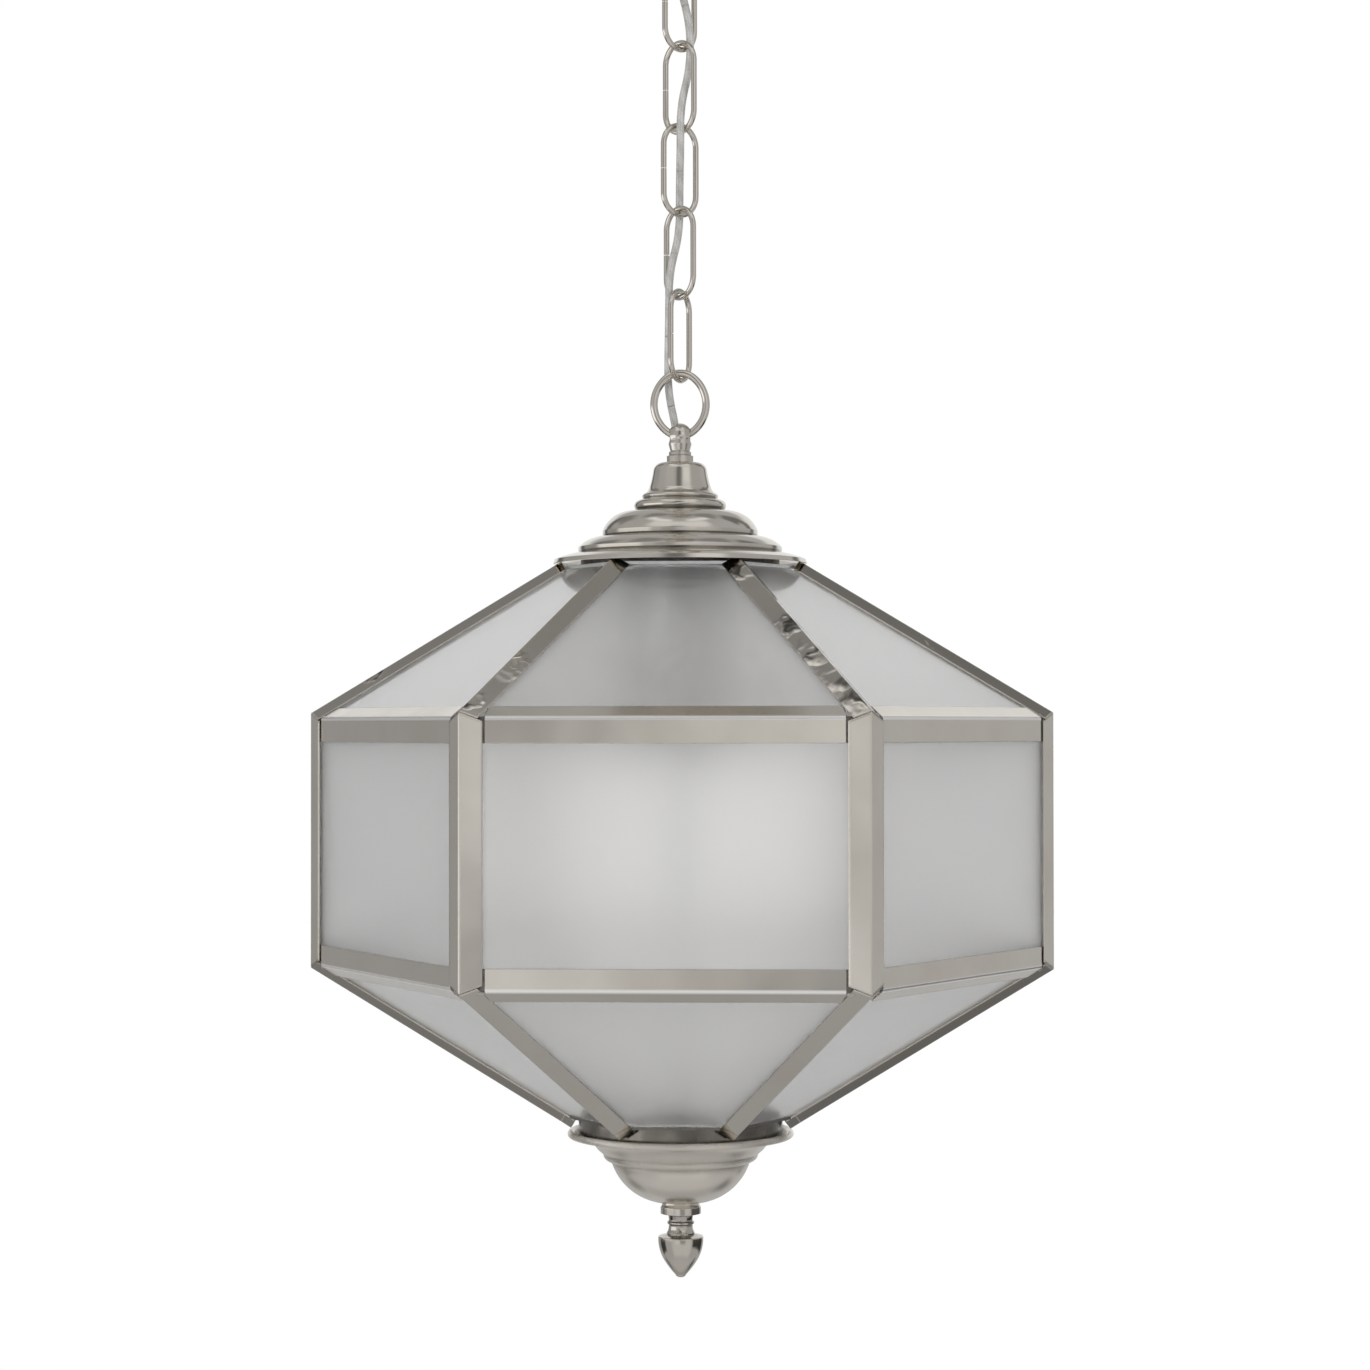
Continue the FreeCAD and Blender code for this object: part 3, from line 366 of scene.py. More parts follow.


# painted shade: the tone goes down where the surface folds in on itself
def shadeInFolds(tree, shader, darkest, reach):
    sky = node(tree, "AmbientOcclusion", values={"Distance": reach}, samples=raySamples["fold"], only_local=True)
    scaleBase(tree, shader, mapped(tree, sky.outputs["AO"], *spunLook["foldShadeBand"], darkest, 1.0))


# spun sheet: fine rings that follow radius and height, over a slow ripple
def spunNickel(name="spunNickel"):
    kind = spunKinds[name]
    finish, tree, shader, place = nickelBase(name, kind["rough"])
    # painted light: the tint is raised on the dish and lowered on the turned parts
    if kind["gain"] != 1.0:
        scaleBase(tree, shader, kind["gain"])
    across = node(tree, "CombineXYZ", {"X": radiusOf(tree, place), "Y": heightOf(tree, place)}).outputs["Vector"]
    rings, ripple = noise(tree, across, **spunLook["rings"]), noise(tree, place, **spunLook["ripple"])
    edge = roundedEdge(tree, kind["soften"])
    soft = bumpInto(tree, shader, rings, kind["rings"], spunLook["ringStrength"], edge)
    bumpInto(tree, shader, ripple, *spunLook["rippleDepth"], soft)
    shadeInFolds(tree, shader, *kind["foldShade"])
    return finish


wireLook = {"rough": (0.10, 0.17), "nicks": {"scale": 60.0, "detail": 1.0}, "nickDepth": (0.0002, 0.2)}


def wireNickel():
    finish, tree, shader, place = nickelBase("wireNickel", wireLook["rough"])
    bumpInto(tree, shader, noise(tree, place, **wireLook["nicks"]), *wireLook["nickDepth"])
    return finish


# plain finishes: two tones mixed by a cloud (scale, detail) or by cells, roughness and bump from a grain
plainLooks = {
    # the lower ring's dark tone is painted shade, for the shadow between the hip strips and the dish
    "ringShadeNickel": {
        "tint": (0.24, 0.225, 0.20), "second": (0.15, 0.14, 0.125), "cloud": (70.0, 3.0),
        "rough": (0.18, 0.32), "bump": (0.0006, 0.4), "sockets": {"Metallic": 1.0},
    },
    # the slit beads' dark tone is painted shade, for the shadow in the slit
    "slitShadeSolder": {
        "tint": (0.20, 0.185, 0.165), "second": (0.12, 0.11, 0.10), "cloud": (420.0, 2.0),
        "rough": (0.25, 0.45), "bump": (0.0004, 0.4), "sockets": {"Metallic": 0.9},
    },
    "solderWiped": {
        "tint": (0.50, 0.475, 0.43), "second": (0.40, 0.38, 0.345), "cloud": (420.0, 2.0),
        "rough": (0.25, 0.45), "bump": (0.0004, 0.4), "sockets": {"Metallic": 0.9},
    },
    # near-black: painted shade under the cap's rim
    "collarShade": {
        "tint": (0.10, 0.10, 0.095), "second": (0.06, 0.06, 0.055), "cloud": (420.0, 2.0),
        "rough": (0.25, 0.45), "bump": (0.0004, 0.4), "sockets": {"Metallic": 0.9},
    },
    "zincSteel": {
        "tint": (0.86, 0.865, 0.87), "second": (0.78, 0.785, 0.79), "cells": 240.0, "grain": (700.0, 2.0),
        "rough": (0.28, 0.42), "bump": (0.00003, 0.4), "sockets": {"Metallic": 1.0},
    },
    "capAluminium": {
        "tint": (0.72, 0.72, 0.72), "second": (0.62, 0.62, 0.62), "cloud": (400.0, 2.0),
        "rough": (0.25, 0.4), "sockets": {"Metallic": 1.0},
    },
    "bulbGlass": {
        "tint": (0.90, 0.90, 0.88), "second": (0.86, 0.86, 0.84), "cloud": (60.0, 1.0),
        "rough": (0.22, 0.3), "sockets": {"IOR": 1.45, "Transmission_Weight": 0.55},
    },
    "holderMoulding": {
        "tint": (0.20, 0.22, 0.21), "second": (0.15, 0.165, 0.155), "cloud": (70.0, 2.0), "grain": (900.0, 3.0),
        "rough": (0.32, 0.45), "bump": (0.00005, 0.5),
    },
    "whiteMoulding": {
        "tint": (0.74, 0.73, 0.70), "second": (0.69, 0.68, 0.65), "cloud": (70.0, 2.0), "grain": (700.0, 3.0),
        "rough": (0.38, 0.5), "bump": (0.00005, 0.5),
    },
}


def plainFinish(name):
    look = plainLooks[name]
    finish, tree, shader = newFinish(name)
    place = objectPlace(tree)
    if "cells" in look:
        cloud = node(tree, "TexVoronoi", {"Vector": place}, {"Scale": look["cells"]}).outputs["Distance"]
    else:
        cloud = noise(tree, place, *look["cloud"])
    grain = noise(tree, place, *look["grain"]) if "grain" in look else cloud
    tree.links.new(colourMix(tree, cloud, look["tint"], look["second"]), shader.inputs["Base Color"])
    tree.links.new(spread(tree, grain, *look["rough"]), shader.inputs["Roughness"])
    if "bump" in look:
        bumpInto(tree, shader, grain, *look["bump"])
    setSockets(shader, **look.get("sockets", {}))
    return finish


glassLook = {
    "tint": (0.944, 0.941, 0.936),
    "edgeTint": (0.878, 0.875, 0.869),  # in the shade of the strips
    "edgeFade": (-0.004, 0.040),  # metres from a pane's edge: full shade, none
    "cornerBlend": 0.02,  # metres, how far the shade is rounded in a pane's corners
    "cloud": {"scale": 14.0},
    "uneven": 0.06,  # how far the cloud moves the shade, up and down
    "lowerLightGain": 1.048,  # painted light: the lower panes' tint is raised, so they show brighter
    "lowerFrom": (-0.5690, -0.5730),  # heights between which the gain sets in
    "beltMiddle": -0.5072,
    "beltHalf": 0.065,  # half height of a belt pane
    "roofReach": 0.079,  # height of a sloping pane
    "frost": (0.30, 0.36),  # roughness of the etched inner face
    "grain": {"scale": 1400.0},
    "milk": 0.10,  # share of light that the etching scatters
    "wave": {"scale": 9.0, "detail": 1.0},
    "waveDepth": 0.0004,  # metres, draw waves in the outer face
    "waveStrength": 0.3,
    "index": 1.5,
    "polish": 0.02,  # roughness of the outer face
}


# 0 at a pane's edges, 1 in its middle; the six sides are folded onto one, and the upper panes onto the lower
def paneMiddle(tree, place):
    look = glassLook
    axes = node(tree, "SeparateXYZ", {"Vector": place})
    around = calc(tree, "ARCTAN2", axes.outputs["Y"], axes.outputs["X"])
    off = calc(tree, "SUBTRACT", calc(tree, "FLOORED_MODULO", around, math.pi / 3), math.pi / 6)
    size = calc(tree, "ABSOLUTE", calc(tree, "SINE", off))
    half = calc(tree, "MULTIPLY", calc(tree, "COSINE", off), math.tan(math.pi / 6))
    aside = calc(tree, "MULTIPLY", calc(tree, "SUBTRACT", half, size), radiusOf(tree, place))
    apart = calc(tree, "ABSOLUTE", calc(tree, "SUBTRACT", axes.outputs["Z"], look["beltMiddle"]))
    past = calc(tree, "SUBTRACT", apart, look["beltHalf"])
    top = calc(tree, "SUBTRACT", look["roofReach"], past)
    inner = calc(tree, "MINIMUM", calc(tree, "ABSOLUTE", past), top)
    least = calc(tree, "SMOOTH_MIN", aside, inner, look["cornerBlend"])
    return eased(tree, least, *look["edgeFade"])


# etched sheet glass: rough light path through it, and a smooth outer face over it
def frostedGlass():
    look = glassLook
    finish, tree, shader = newFinish("frostedGlass")
    place = objectPlace(tree)
    uneven = spread(tree, noise(tree, place, **look["cloud"]), -look["uneven"], look["uneven"])
    tint = node(tree, "ValToRGB", {"Fac": calc(tree, "ADD", paneMiddle(tree, place), uneven, use_clamp=True)})
    tint.color_ramp.elements[0].color = pale(look["edgeTint"])
    tint.color_ramp.elements[1].color = pale(look["tint"])
    tree.links.new(tint.outputs["Color"], shader.inputs["Base Color"])
    scaleBase(tree, shader, mapped(tree, heightOf(tree, place), *look["lowerFrom"], 1.0, look["lowerLightGain"]))
    tree.links.new(spread(tree, noise(tree, place, **look["grain"]), *look["frost"]), shader.inputs["Roughness"])
    smooth = node(
        tree, "Bump", {"Height": noise(tree, place, **look["wave"])},
        {"Strength": look["waveStrength"], "Distance": look["waveDepth"]},
    )
    tree.links.new(smooth.outputs["Normal"], shader.inputs["Coat Normal"])
    setSockets(
        shader, IOR=look["index"], Transmission_Weight=1.0 - look["milk"],
        Coat_Weight=1.0, Coat_Roughness=look["polish"], Coat_IOR=look["index"],
    )
    return finish


flexLook = {
    "tint": (0.52, 0.51, 0.49),
    "second": (0.44, 0.43, 0.41),
    "lay": {"Scale": 1.0, "Distortion": 0.4, "Detail": 0.0},  # twist of the conductors
    "rough": (0.26, 0.34),
    "bump": (0.00004, 0.25),
    "sockets": {"Metallic": 0.25, "Coat_Weight": 0.6, "Coat_Roughness": 0.12, "Coat_IOR": 1.5},
}


# flex: silvery conductors seen through a glossy sheath; the map runs along (u) and round (v)
def flexSheath():
    look = flexLook
    finish, tree, shader = newFinish("flexSheath")
    along = node(tree, "UVMap", uv_map="flexMap").outputs["UV"]
    lay = node(
        tree, "TexWave", {"Vector": along}, look["lay"], wave_type="BANDS", bands_direction="DIAGONAL",
    ).outputs["Fac"]
    tree.links.new(colourMix(tree, lay, look["tint"], look["second"]), shader.inputs["Base Color"])
    tree.links.new(spread(tree, lay, *look["rough"]), shader.inputs["Roughness"])
    bumpInto(tree, shader, lay, *look["bump"])
    setSockets(shader, **look["sockets"])
    return finish


nickelByName = {  # how a nickelled node's name starts, and its kind; the others are spun
    "corner_post": "post", "chain_link": "wire", "suspension_ring": "wire", "canopy_loop": "wire",
    "upper_hip_bars": "hip", "lower_hip_bars": "strip", "lower_ring": "ring", "bottom_dish": "dish",
    "ball_loop": "turned", "finial": "turned",
}


def kindOf(name):
    return next((kind for start, kind in nickelByName.items() if name.startswith(start)), "spun")


def dressParts():
    nickelKinds = {
        "strip": stripNickel(), "post": stripNickel("postNickel", postLook["edge"], lean=True), "hip": hipNickel(),
        "ring": plainFinish("ringShadeNickel"), "spun": spunNickel(), "wire": wireNickel(),
        "dish": spunNickel("dishNickel"), "turned": spunNickel("turnedNickel"),
    }
    bySlot = {
        "steel": plainFinish("zincSteel"), "pane_glass": frostedGlass(), "bulb_glass": plainFinish("bulbGlass"),
        "lamp_cap": plainFinish("capAluminium"), "holder": plainFinish("holderMoulding"),
        "moulding": plainFinish("whiteMoulding"),
    }
    for name, part in parts.items():
        for place in part.material_slots:
            key = place.material.name
            if key == "nickel":
                place.material = nickelKinds[kindOf(name)]
            elif key in bySlot:
                place.material = bySlot[key]


# flex: one line from the cord grip down through the chain to the cap's bush

flexRun = {
    "diameter": 0.004,
    "sides": 28,
    "steps": 20,  # line points for each route point
    "layLength": 60,  # turns of the conductors' lay in a metre
    "blend": 0.012,  # metres to each side of a joint
    "gap": 0.0001,  # line points nearer than this to a cut are left out
    "route": [
        (0, 0.014, -0.024), (0, 0.014, -0.038), (0, 0.0058, -0.054), (0, 0.0058, -0.068),
        (0.0054, 0.0001, -0.0895), (0.0054, 0.0001, -0.1107), (0.0006, -0.0058, -0.132), (0.0006, -0.0058, -0.1532),
        (-0.0004, 0.0059, -0.1745), (-0.0004, 0.0059, -0.1957), (-0.0056, 0, -0.217), (-0.0056, 0, -0.2382),
        (-0.0063, 0.0048, -0.2595), (-0.0063, 0.0048, -0.278), (-0.0015, 0.0103, -0.2995), (-0.0015, 0.0103, -0.317),
    ],
    # the height where one length ends and the next starts, and the joint between the two bodies
    "spans": [
        ("flexAtCanopy", "ceiling_fitting", "link_1", -0.0240, -0.0788, -0.0597),
        ("flexAtLink1", "link_1", "link_2", -0.0788, -0.1213, -0.1017),
        ("flexAtLink2", "link_2", "link_3", -0.1213, -0.1638, -0.1442),
        ("flexAtLink3", "link_3", "link_4", -0.1638, -0.2063, -0.1867),
        ("flexAtLink4", "link_4", "link_5", -0.2063, -0.2488, -0.2292),
        ("flexAtLink5", "link_5", "ring", -0.2488, -0.2842, -0.2717),
        ("flexAtCap", "ring", "lantern", -0.2842, -0.3170, -0.3001),
    ],
}


# the route's points drawn as one quadratic spline, with its ends on the first and the last of them
def smoothLine(route, steps):
    line = bpy.data.curves.new("flexLine", "CURVE")
    line.dimensions = "3D"
    line.resolution_u = steps
    spline = line.splines.new("NURBS")
    spline.points.add(len(route) - 1)
    spline.points.foreach_set("co", np.hstack([np.array(route, float), np.ones((len(route), 1))]).ravel())
    spline.order_u = 3
    spline.use_endpoint_u = True
    holder = bpy.data.objects.new("flexLine", line)
    drawn = bpy.data.meshes.new_from_object(holder)
    found = np.empty(len(drawn.vertices) * 3)
    drawn.vertices.foreach_get("co", found)
    bpy.data.objects.remove(holder)
    bpy.data.curves.remove(line)
    bpy.data.meshes.remove(drawn)
    return found.reshape(-1, 3)


def putMesh(name, points, faces):
    mesh = bpy.data.meshes.new(name)
    mesh.from_pydata(points.reshape(-1, 3).tolist(), [], faces)
    mesh.update()
    made = bpy.data.objects.new(name, mesh)
    scene.collection.objects.link(made)
    return made


# grid surfaces in one mesh: rows x columns of points, closed round the columns, a flat face over each end
def roundSurfaces(name, grids, sharpFrom=None):
    faces, start = [], 0
    for grid in grids:
        rows, columns, _ = grid.shape
        index = start + np.arange(rows * columns).reshape(rows, columns)
        nextOne = np.roll(index, -1, axis=1)
        faces += np.stack([index[:-1], nextOne[:-1], nextOne[1:], index[1:]], axis=-1).reshape(-1, 4).tolist()
        faces += [index[0, ::-1].tolist(), index[-1].tolist()]
        start += rows * columns
    made = putMesh(name, np.vstack([grid.reshape(-1, 3) for grid in grids]), faces)
    made.data.polygons.foreach_set("use_smooth", [len(face) == 4 for face in faces])
    if sharpFrom:
        made.data.set_sharp_from_angle(angle=math.radians(sharpFrom))
    return made


# map of one grid surface: u along the rows, v round the columns, nothing on the two ends
def addMap(made, name, rows, columns, along, around):
    u = np.repeat(np.linspace(0, along, rows), columns).reshape(rows, columns)
    v = np.tile(np.linspace(0, around, columns, endpoint=False), rows).reshape(rows, columns)
    low = np.stack([u, v], axis=-1)
    high = np.stack([u, v + around / columns], axis=-1)
    corners = np.stack([low[:-1], high[:-1], high[1:], low[1:]], axis=2).reshape(-1, 2)
    ends = np.zeros((2 * columns, 2))
    made.data.uv_layers.new(name=name).data.foreach_set("uv", np.vstack([corners, ends]).ravel())


# tube: centre(s) + radius * (cos(a) * side(s) + sin(a) * across(s)), side and across square to the line
def tubeGrid(centres, radius, sides):
    along = np.gradient(centres, axis=0)
    along /= np.linalg.norm(along, axis=1, keepdims=True)
    side = np.array([1.0, 0.0, 0.0]) - along * along[:, :1]
    side /= np.linalg.norm(side, axis=1, keepdims=True)
    across = np.cross(along, side)
    angle = np.linspace(0, 2 * np.pi, sides, endpoint=False)
    ring = np.cos(angle)[None, :, None] * side[:, None, :] + np.sin(angle)[None, :, None] * across[:, None, :]
    return centres[:, None, :] + radius * ring


# the line's point at a height
def pointAt(line, height):
    order = np.argsort(line[:, 2])
    return np.array([np.interp(height, line[order, 2], line[order, k]) for k in range(3)])


def hangFlex():
    line = smoothLine(flexRun["route"], flexRun["steps"])
    sheath = flexSheath()
    gap, reach, walked = flexRun["gap"], flexRun["blend"], 0.0
    for name, upper, lower, top, bottom, joint in flexRun["spans"]:
        inside = line[(line[:, 2] < top - gap) & (line[:, 2] > bottom + gap)]
        path = np.vstack([pointAt(line, top), inside, pointAt(line, bottom)])
        length = float(np.linalg.norm(np.diff(path, axis=0), axis=1).sum())
        tube = roundSurfaces(name, [tubeGrid(path, flexRun["diameter"] / 2, flexRun["sides"])])
        addMap(tube, "flexMap", len(path), flexRun["sides"], length * flexRun["layLength"], 1.0)
        tube.data.materials.append(sheath)
        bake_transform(tube)
        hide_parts("flex_cord")
        walked += length
    print(f"flex: {len(flexRun['spans'])} lengths, {walked:.3f} m")


# rails: folded strips that lie on the belt panes and on the sloping panes, soldered at their ends

railForm = {
    "apothem": 0.16364,  # outer face
    "thick": 0.0008,
    "bend": 0.0018,  # radius of the fold's outer side
    "leg": 0.0090,  # length on the sloping pane
    "faceEnd": 0.0830,  # half length of the face
    "hipRoom": 0.00931,  # how far the sloping leg keeps back from the corner's own line
    "sway": 0.00005,  # hand-rolled unevenness
    "swayWaves": ((1.0, 83, 1.9), (0.6, 197, 3.1)),  # share, waves in a metre (radians), shift from side to side
    "rows": 48,
    "points": (9, 8, 9),  # on the face, on the leg, round the fold
    # fold's height, the face's free edge, slope of the leg in degrees
    "upper": (-0.44457, -0.45660, 34.8),
    "lower": (-0.57090, -0.56020, -35.1),
}
sharpEdge = 40  # degrees


# directions outward and along a side of the cage, or outward and across a corner
def sideAxes(degrees):
    turn = math.radians(degrees)
    return np.array([math.cos(turn), math.sin(turn)]), np.array([-math.sin(turn), math.cos(turn)])


# fold: middle line of leg, arc and face, with half the thickness to each side, and square edges
def foldedProfile(height, edge, slope):
    up = 1 if slope > 0 else -1
    lean = math.radians(abs(slope))
    bend, half = railForm["bend"] - railForm["thick"] / 2, railForm["thick"] / 2
    turn = math.pi / 2 - lean  # angle that the strip turns through at the fold
    take = railForm["bend"] * math.tan(turn / 2)
    facePoints, legPoints, bendPoints = railForm["points"]
    face = np.linspace(abs(edge - height), take, facePoints)
    leg = np.linspace(take, railForm["leg"], legPoints)
    sweep = np.linspace(0, turn, bendPoints)[1:-1]
    out = np.stack([np.cos(sweep), np.sin(sweep)], axis=1)
    normal = np.array([math.sin(lean), math.cos(lean)])
    run = np.array([-math.cos(lean), math.sin(lean)])
    line = np.vstack([
        np.stack([-half + 0 * face, -face, 1 + 0 * face, 0 * face], axis=1),
        np.hstack([np.array([-railForm["bend"], -take]) + bend * out, out]),
        np.hstack([leg[:, None] * run - half * normal, np.tile(normal, (len(leg), 1))]),
    ])
    loop = np.vstack([line[:, :2] + half * line[:, 2:], (line[:, :2] - half * line[:, 2:])[::-1]])
    return np.stack([railForm["apothem"] + loop[:, 0], height + up * loop[:, 1]], axis=1)


# six strips: profile (apothem, height) carried along each side, ends cut by the post's edge and the hip strip
def layRails(name, kind, replaced, finish):
    profile = foldedProfile(*railForm[kind])
    if kind == "lower":
        profile = profile[::-1]
    reach = np.minimum(railForm["faceEnd"], profile[:, 0] * math.tan(math.pi / 6) - railForm["hipRoom"])
    along = np.linspace(-1, 1, railForm["rows"])[:, None] * reach[None, :]
    pieces = []
    for side in range(6):
        waves = sum(part * np.sin(along * many + side * shift) for part, many, shift in railForm["swayWaves"])
        out = profile[None, :, 0] + railForm["sway"] * waves
        outward, sideways = sideAxes(30 + 60 * side)
        flat = out[..., None] * outward + along[..., None] * sideways
        pieces.append(np.concatenate([flat, np.broadcast_to(profile[None, :, 1:], out.shape + (1,))], axis=-1))
    made = roundSurfaces(name, pieces, sharpEdge)
    made.data.materials.append(finish)
    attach(made, "lantern")
    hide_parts(replaced)


# solder: a bead in the slit at each rail's end, dark as painted shade for the shadow in the slit, and a wiped corner
# behind each meeting of strips

solderForm = {
    "slit": (0.0840, 0.16290, 0.0016, 0.00035),  # along, apothem, half width, half depth
    "slitSquare": 0.35,  # power that squares a bead off
    "corner": (0.0850, 0.16170, 0.0022, 0.0007, 0.0014),  # along, apothem, half sizes along, outward and up
    "cornerLift": 0.0007,  # past the fold
    "grid": (9, 16),  # rows and columns of a lump
    "pole": 0.49,  # share of half a turn at which a lump's rows end
}


# rounded lump: middle + half size * (cos(rise) cos(turn), cos(rise) sin(turn), sin(rise)), squared off by a power
def lump(middle, halfSize, outward, sideways, power=1.0):
    rows, columns = solderForm["grid"]
    rise = np.linspace(-solderForm["pole"] * np.pi, solderForm["pole"] * np.pi, rows)[:, None]
    turn = np.linspace(0, 2 * np.pi, columns, endpoint=False)[None, :]
    cosRise, sinRise, cosTurn, sinTurn = (
        np.sign(v) * np.abs(v) ** power for v in (np.cos(rise), np.sin(rise), np.cos(turn), np.sin(turn))
    )
    out = (halfSize[1] * cosRise * sinTurn)[..., None] * outward
    aside = (halfSize[0] * cosRise * cosTurn)[..., None] * sideways
    height = middle[2] + halfSize[2] * sinRise + 0 * turn
    return np.concatenate([middle[:2] + (out + aside), height[..., None]], axis=-1)


def runSolder():
    form, beads, corners = solderForm, [], []
    for side, end, kind in [(s, e, k) for s in range(6) for e in (-1, 1) for k in ("upper", "lower")]:
        outward, sideways = sideAxes(30 + 60 * side)
        fold, edge, _ = railForm[kind]
        along, apothem, wide, deep = form["slit"]
        middle = np.array([*(apothem * outward + end * along * sideways), (fold + edge) / 2])
        beads.append(lump(middle, (wide, deep, abs(fold - edge) / 2), outward, sideways, form["slitSquare"]))
        along, apothem, *halfSize = form["corner"]
        lift = form["cornerLift"] if kind == "upper" else -form["cornerLift"]
        middle = np.array([*(apothem * outward + end * along * sideways), fold + lift])
        corners.append(lump(middle, halfSize, outward, sideways))
    for name, lumps, finish in (("slitShadeSeams", beads, "slitShadeSolder"), ("solderCorners", corners, "solderWiped")):
        made = roundSurfaces(name, lumps, sharpEdge)
        made.data.materials.append(plainFinish(finish))
        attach(made, "lantern")


# toes: the lower hip strips run on, down to the dish's rim

toeForm = {
    "ridge": (0.0610, -0.65093),  # radius and height of the ridge where the hip strip ends
    "edge": (0.05838, -0.64663),
    "half": 0.00746,  # half width at the legs' edges
    "thick": 0.0008,
    "run": (-0.0015, 0.0058),  # metres along the ridge, before and past the strip's end
    "fall": 32.4,  # degrees
}


# toe: the strip's folded section, slid along the ridge: point + run * (-cos fall, -sin fall)
def layToes():
    form = toeForm
    ridge, edge = np.array(form["ridge"]), np.array(form["edge"])
    inward = (edge - ridge) / np.linalg.norm(edge - ridge)
    outer = [(form["half"], *edge), (0.0, *ridge), (-form["half"], *edge)]
    inner = [(wide, *(np.array(point) + form["thick"] * inward)) for wide, *point in reversed(outer)]
    section = np.array(outer + inner)
    fall = math.radians(form["fall"])
    grids = []
    for side in range(6):
        outward, sideways = sideAxes(60 * side)
        rows = []
        for run in form["run"]:
            radius, height = section[:, 1] - run * math.cos(fall), section[:, 2] - run * math.sin(fall)
            rows.append(np.column_stack([radius[:, None] * outward + section[:, :1] * sideways, height]))
        grids.append(np.array(rows)[:, ::-1])
    made = roundSurfaces("lowerHipToes", grids, sharpEdge)
    made.data.materials.append(stripNickel("toeNickel"))
    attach(made, "lantern")


# collar: closes the gap between the roof plate and the cap's open underside; its near-black tone is painted shade
# under the cap's rim

collarForm = {"radius": 0.0508, "wall": 0.0008, "bottom": -0.3669, "top": -0.3632, "sides": 96}


# ring: (radius(s) cos(turn), radius(s) sin(turn), height(s)), s round the band's four corners
def fitCollar():
    inner, outer = collarForm["radius"] - collarForm["wall"], collarForm["radius"]
    low, high = collarForm["bottom"], collarForm["top"]
    outline = np.array([(outer, low), (outer, high), (inner, high), (inner, low)])
    turn = np.linspace(0, 2 * np.pi, collarForm["sides"], endpoint=False)
    points = np.stack([
        outline[None, :, 0] * np.cos(turn)[:, None], outline[None, :, 0] * np.sin(turn)[:, None],
        np.broadcast_to(outline[None, :, 1], (len(turn), 4)),
    ], axis=-1)
    index = np.arange(len(turn) * 4).reshape(-1, 4)
    after = np.roll(index, -1, axis=0)
    turned, turnedAfter = np.roll(index, -1, axis=1), np.roll(after, -1, axis=1)
    faces = np.stack([index, after, turnedAfter, turned], axis=-1).reshape(-1, 4).tolist()
    made = putMesh("capCollar", points, faces)
    made.data.materials.append(plainFinish("collarShade"))
    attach(made, "lantern")


hangFlex()
# the rails' folds carry a painted highlight
railFinish = stripNickel("railNickel", foldLook["edge"], folds=(
    railForm["upper"][0] - foldLook["inset"], railForm["lower"][0] + foldLook["inset"],
))
layRails("upperRailStrips", "upper", "upper_rails", railFinish)
layRails("lowerRailStrips", "lower", "lower_rails", railFinish)
runSolder()
layToes()
fitCollar()
print("rails, solder, toes and collar made")
dressParts()
print("finishes on")


# studio: white surroundings, a tent of grey tones round the lantern, soft lamps, pale floor

white = (1, 1, 1, 1)
studio = {
    "airLevel": 0.72,  # what matt surfaces receive from the surroundings
    "floorHeight": -2.4,
    "floorRadius": 3.2,
    "floorFade": (1.2, 3.1),  # metres from the axis, where the paint gives way to the white of the backdrop
    "floorTint": (0.84, 0.84, 0.835),
    "floorSockets": {"Roughness": 0.85, "Specular_IOR_Level": 0.1},
    "sides": 96,
    "lamps": [  # name, place, aimed at, size, watts
        ("keyLamp", (-1.5, -2.0, 0.7), (0, 0, -0.45), 1.3, 26.0),
        ("fillLamp", (1.9, -1.4, 0.2), (0, 0, -0.5), 1.4, 13.0),
        ("backLamp", (0.3, 1.9, 0.6), (0, 0, -0.5), 1.4, 12.0),
    ],
}


def lightAir():
    world = bpy.data.worlds.new("studioAir")
    scene.world = world
    world.use_nodes = True
    tree = world.node_tree
    tree.nodes.clear()
    path = node(tree, "LightPath").outputs
    seen = calc(tree, "ADD", path["Is Camera Ray"], path["Is Glossy Ray"], use_clamp=True)
    shown = calc(tree, "ADD", seen, path["Is Transmission Ray"], use_clamp=True)
    soft = node(tree, "Background", values={"Color": white, "Strength": studio["airLevel"]})
    plain = node(tree, "Background", values={"Color": white, "Strength": 1.0})
    mixed = node(tree, "MixShader", {0: shown, 1: soft.outputs[0], 2: plain.outputs[0]})
    node(tree, "OutputWorld", {"Surface": mixed.outputs[0]})


# the lamps light matt surfaces only: metal sees the tent, and glass the white air
def hangLamps():
    for name, place, target, size, watts in studio["lamps"]:
        lamp = bpy.data.lights.new(name, "AREA")
        lamp.shape = "DISK"
        lamp.size = size
        lamp.energy = watts
        holder = bpy.data.objects.new(name, lamp)
        holder.visible_glossy = False
        holder.visible_transmission = False
        aim = Vector(place) - Vector(target)
        holder.matrix_world = Matrix.Translation(place) @ aim.to_track_quat("Z", "Y").to_matrix().to_4x4()
        scene.collection.objects.link(holder)


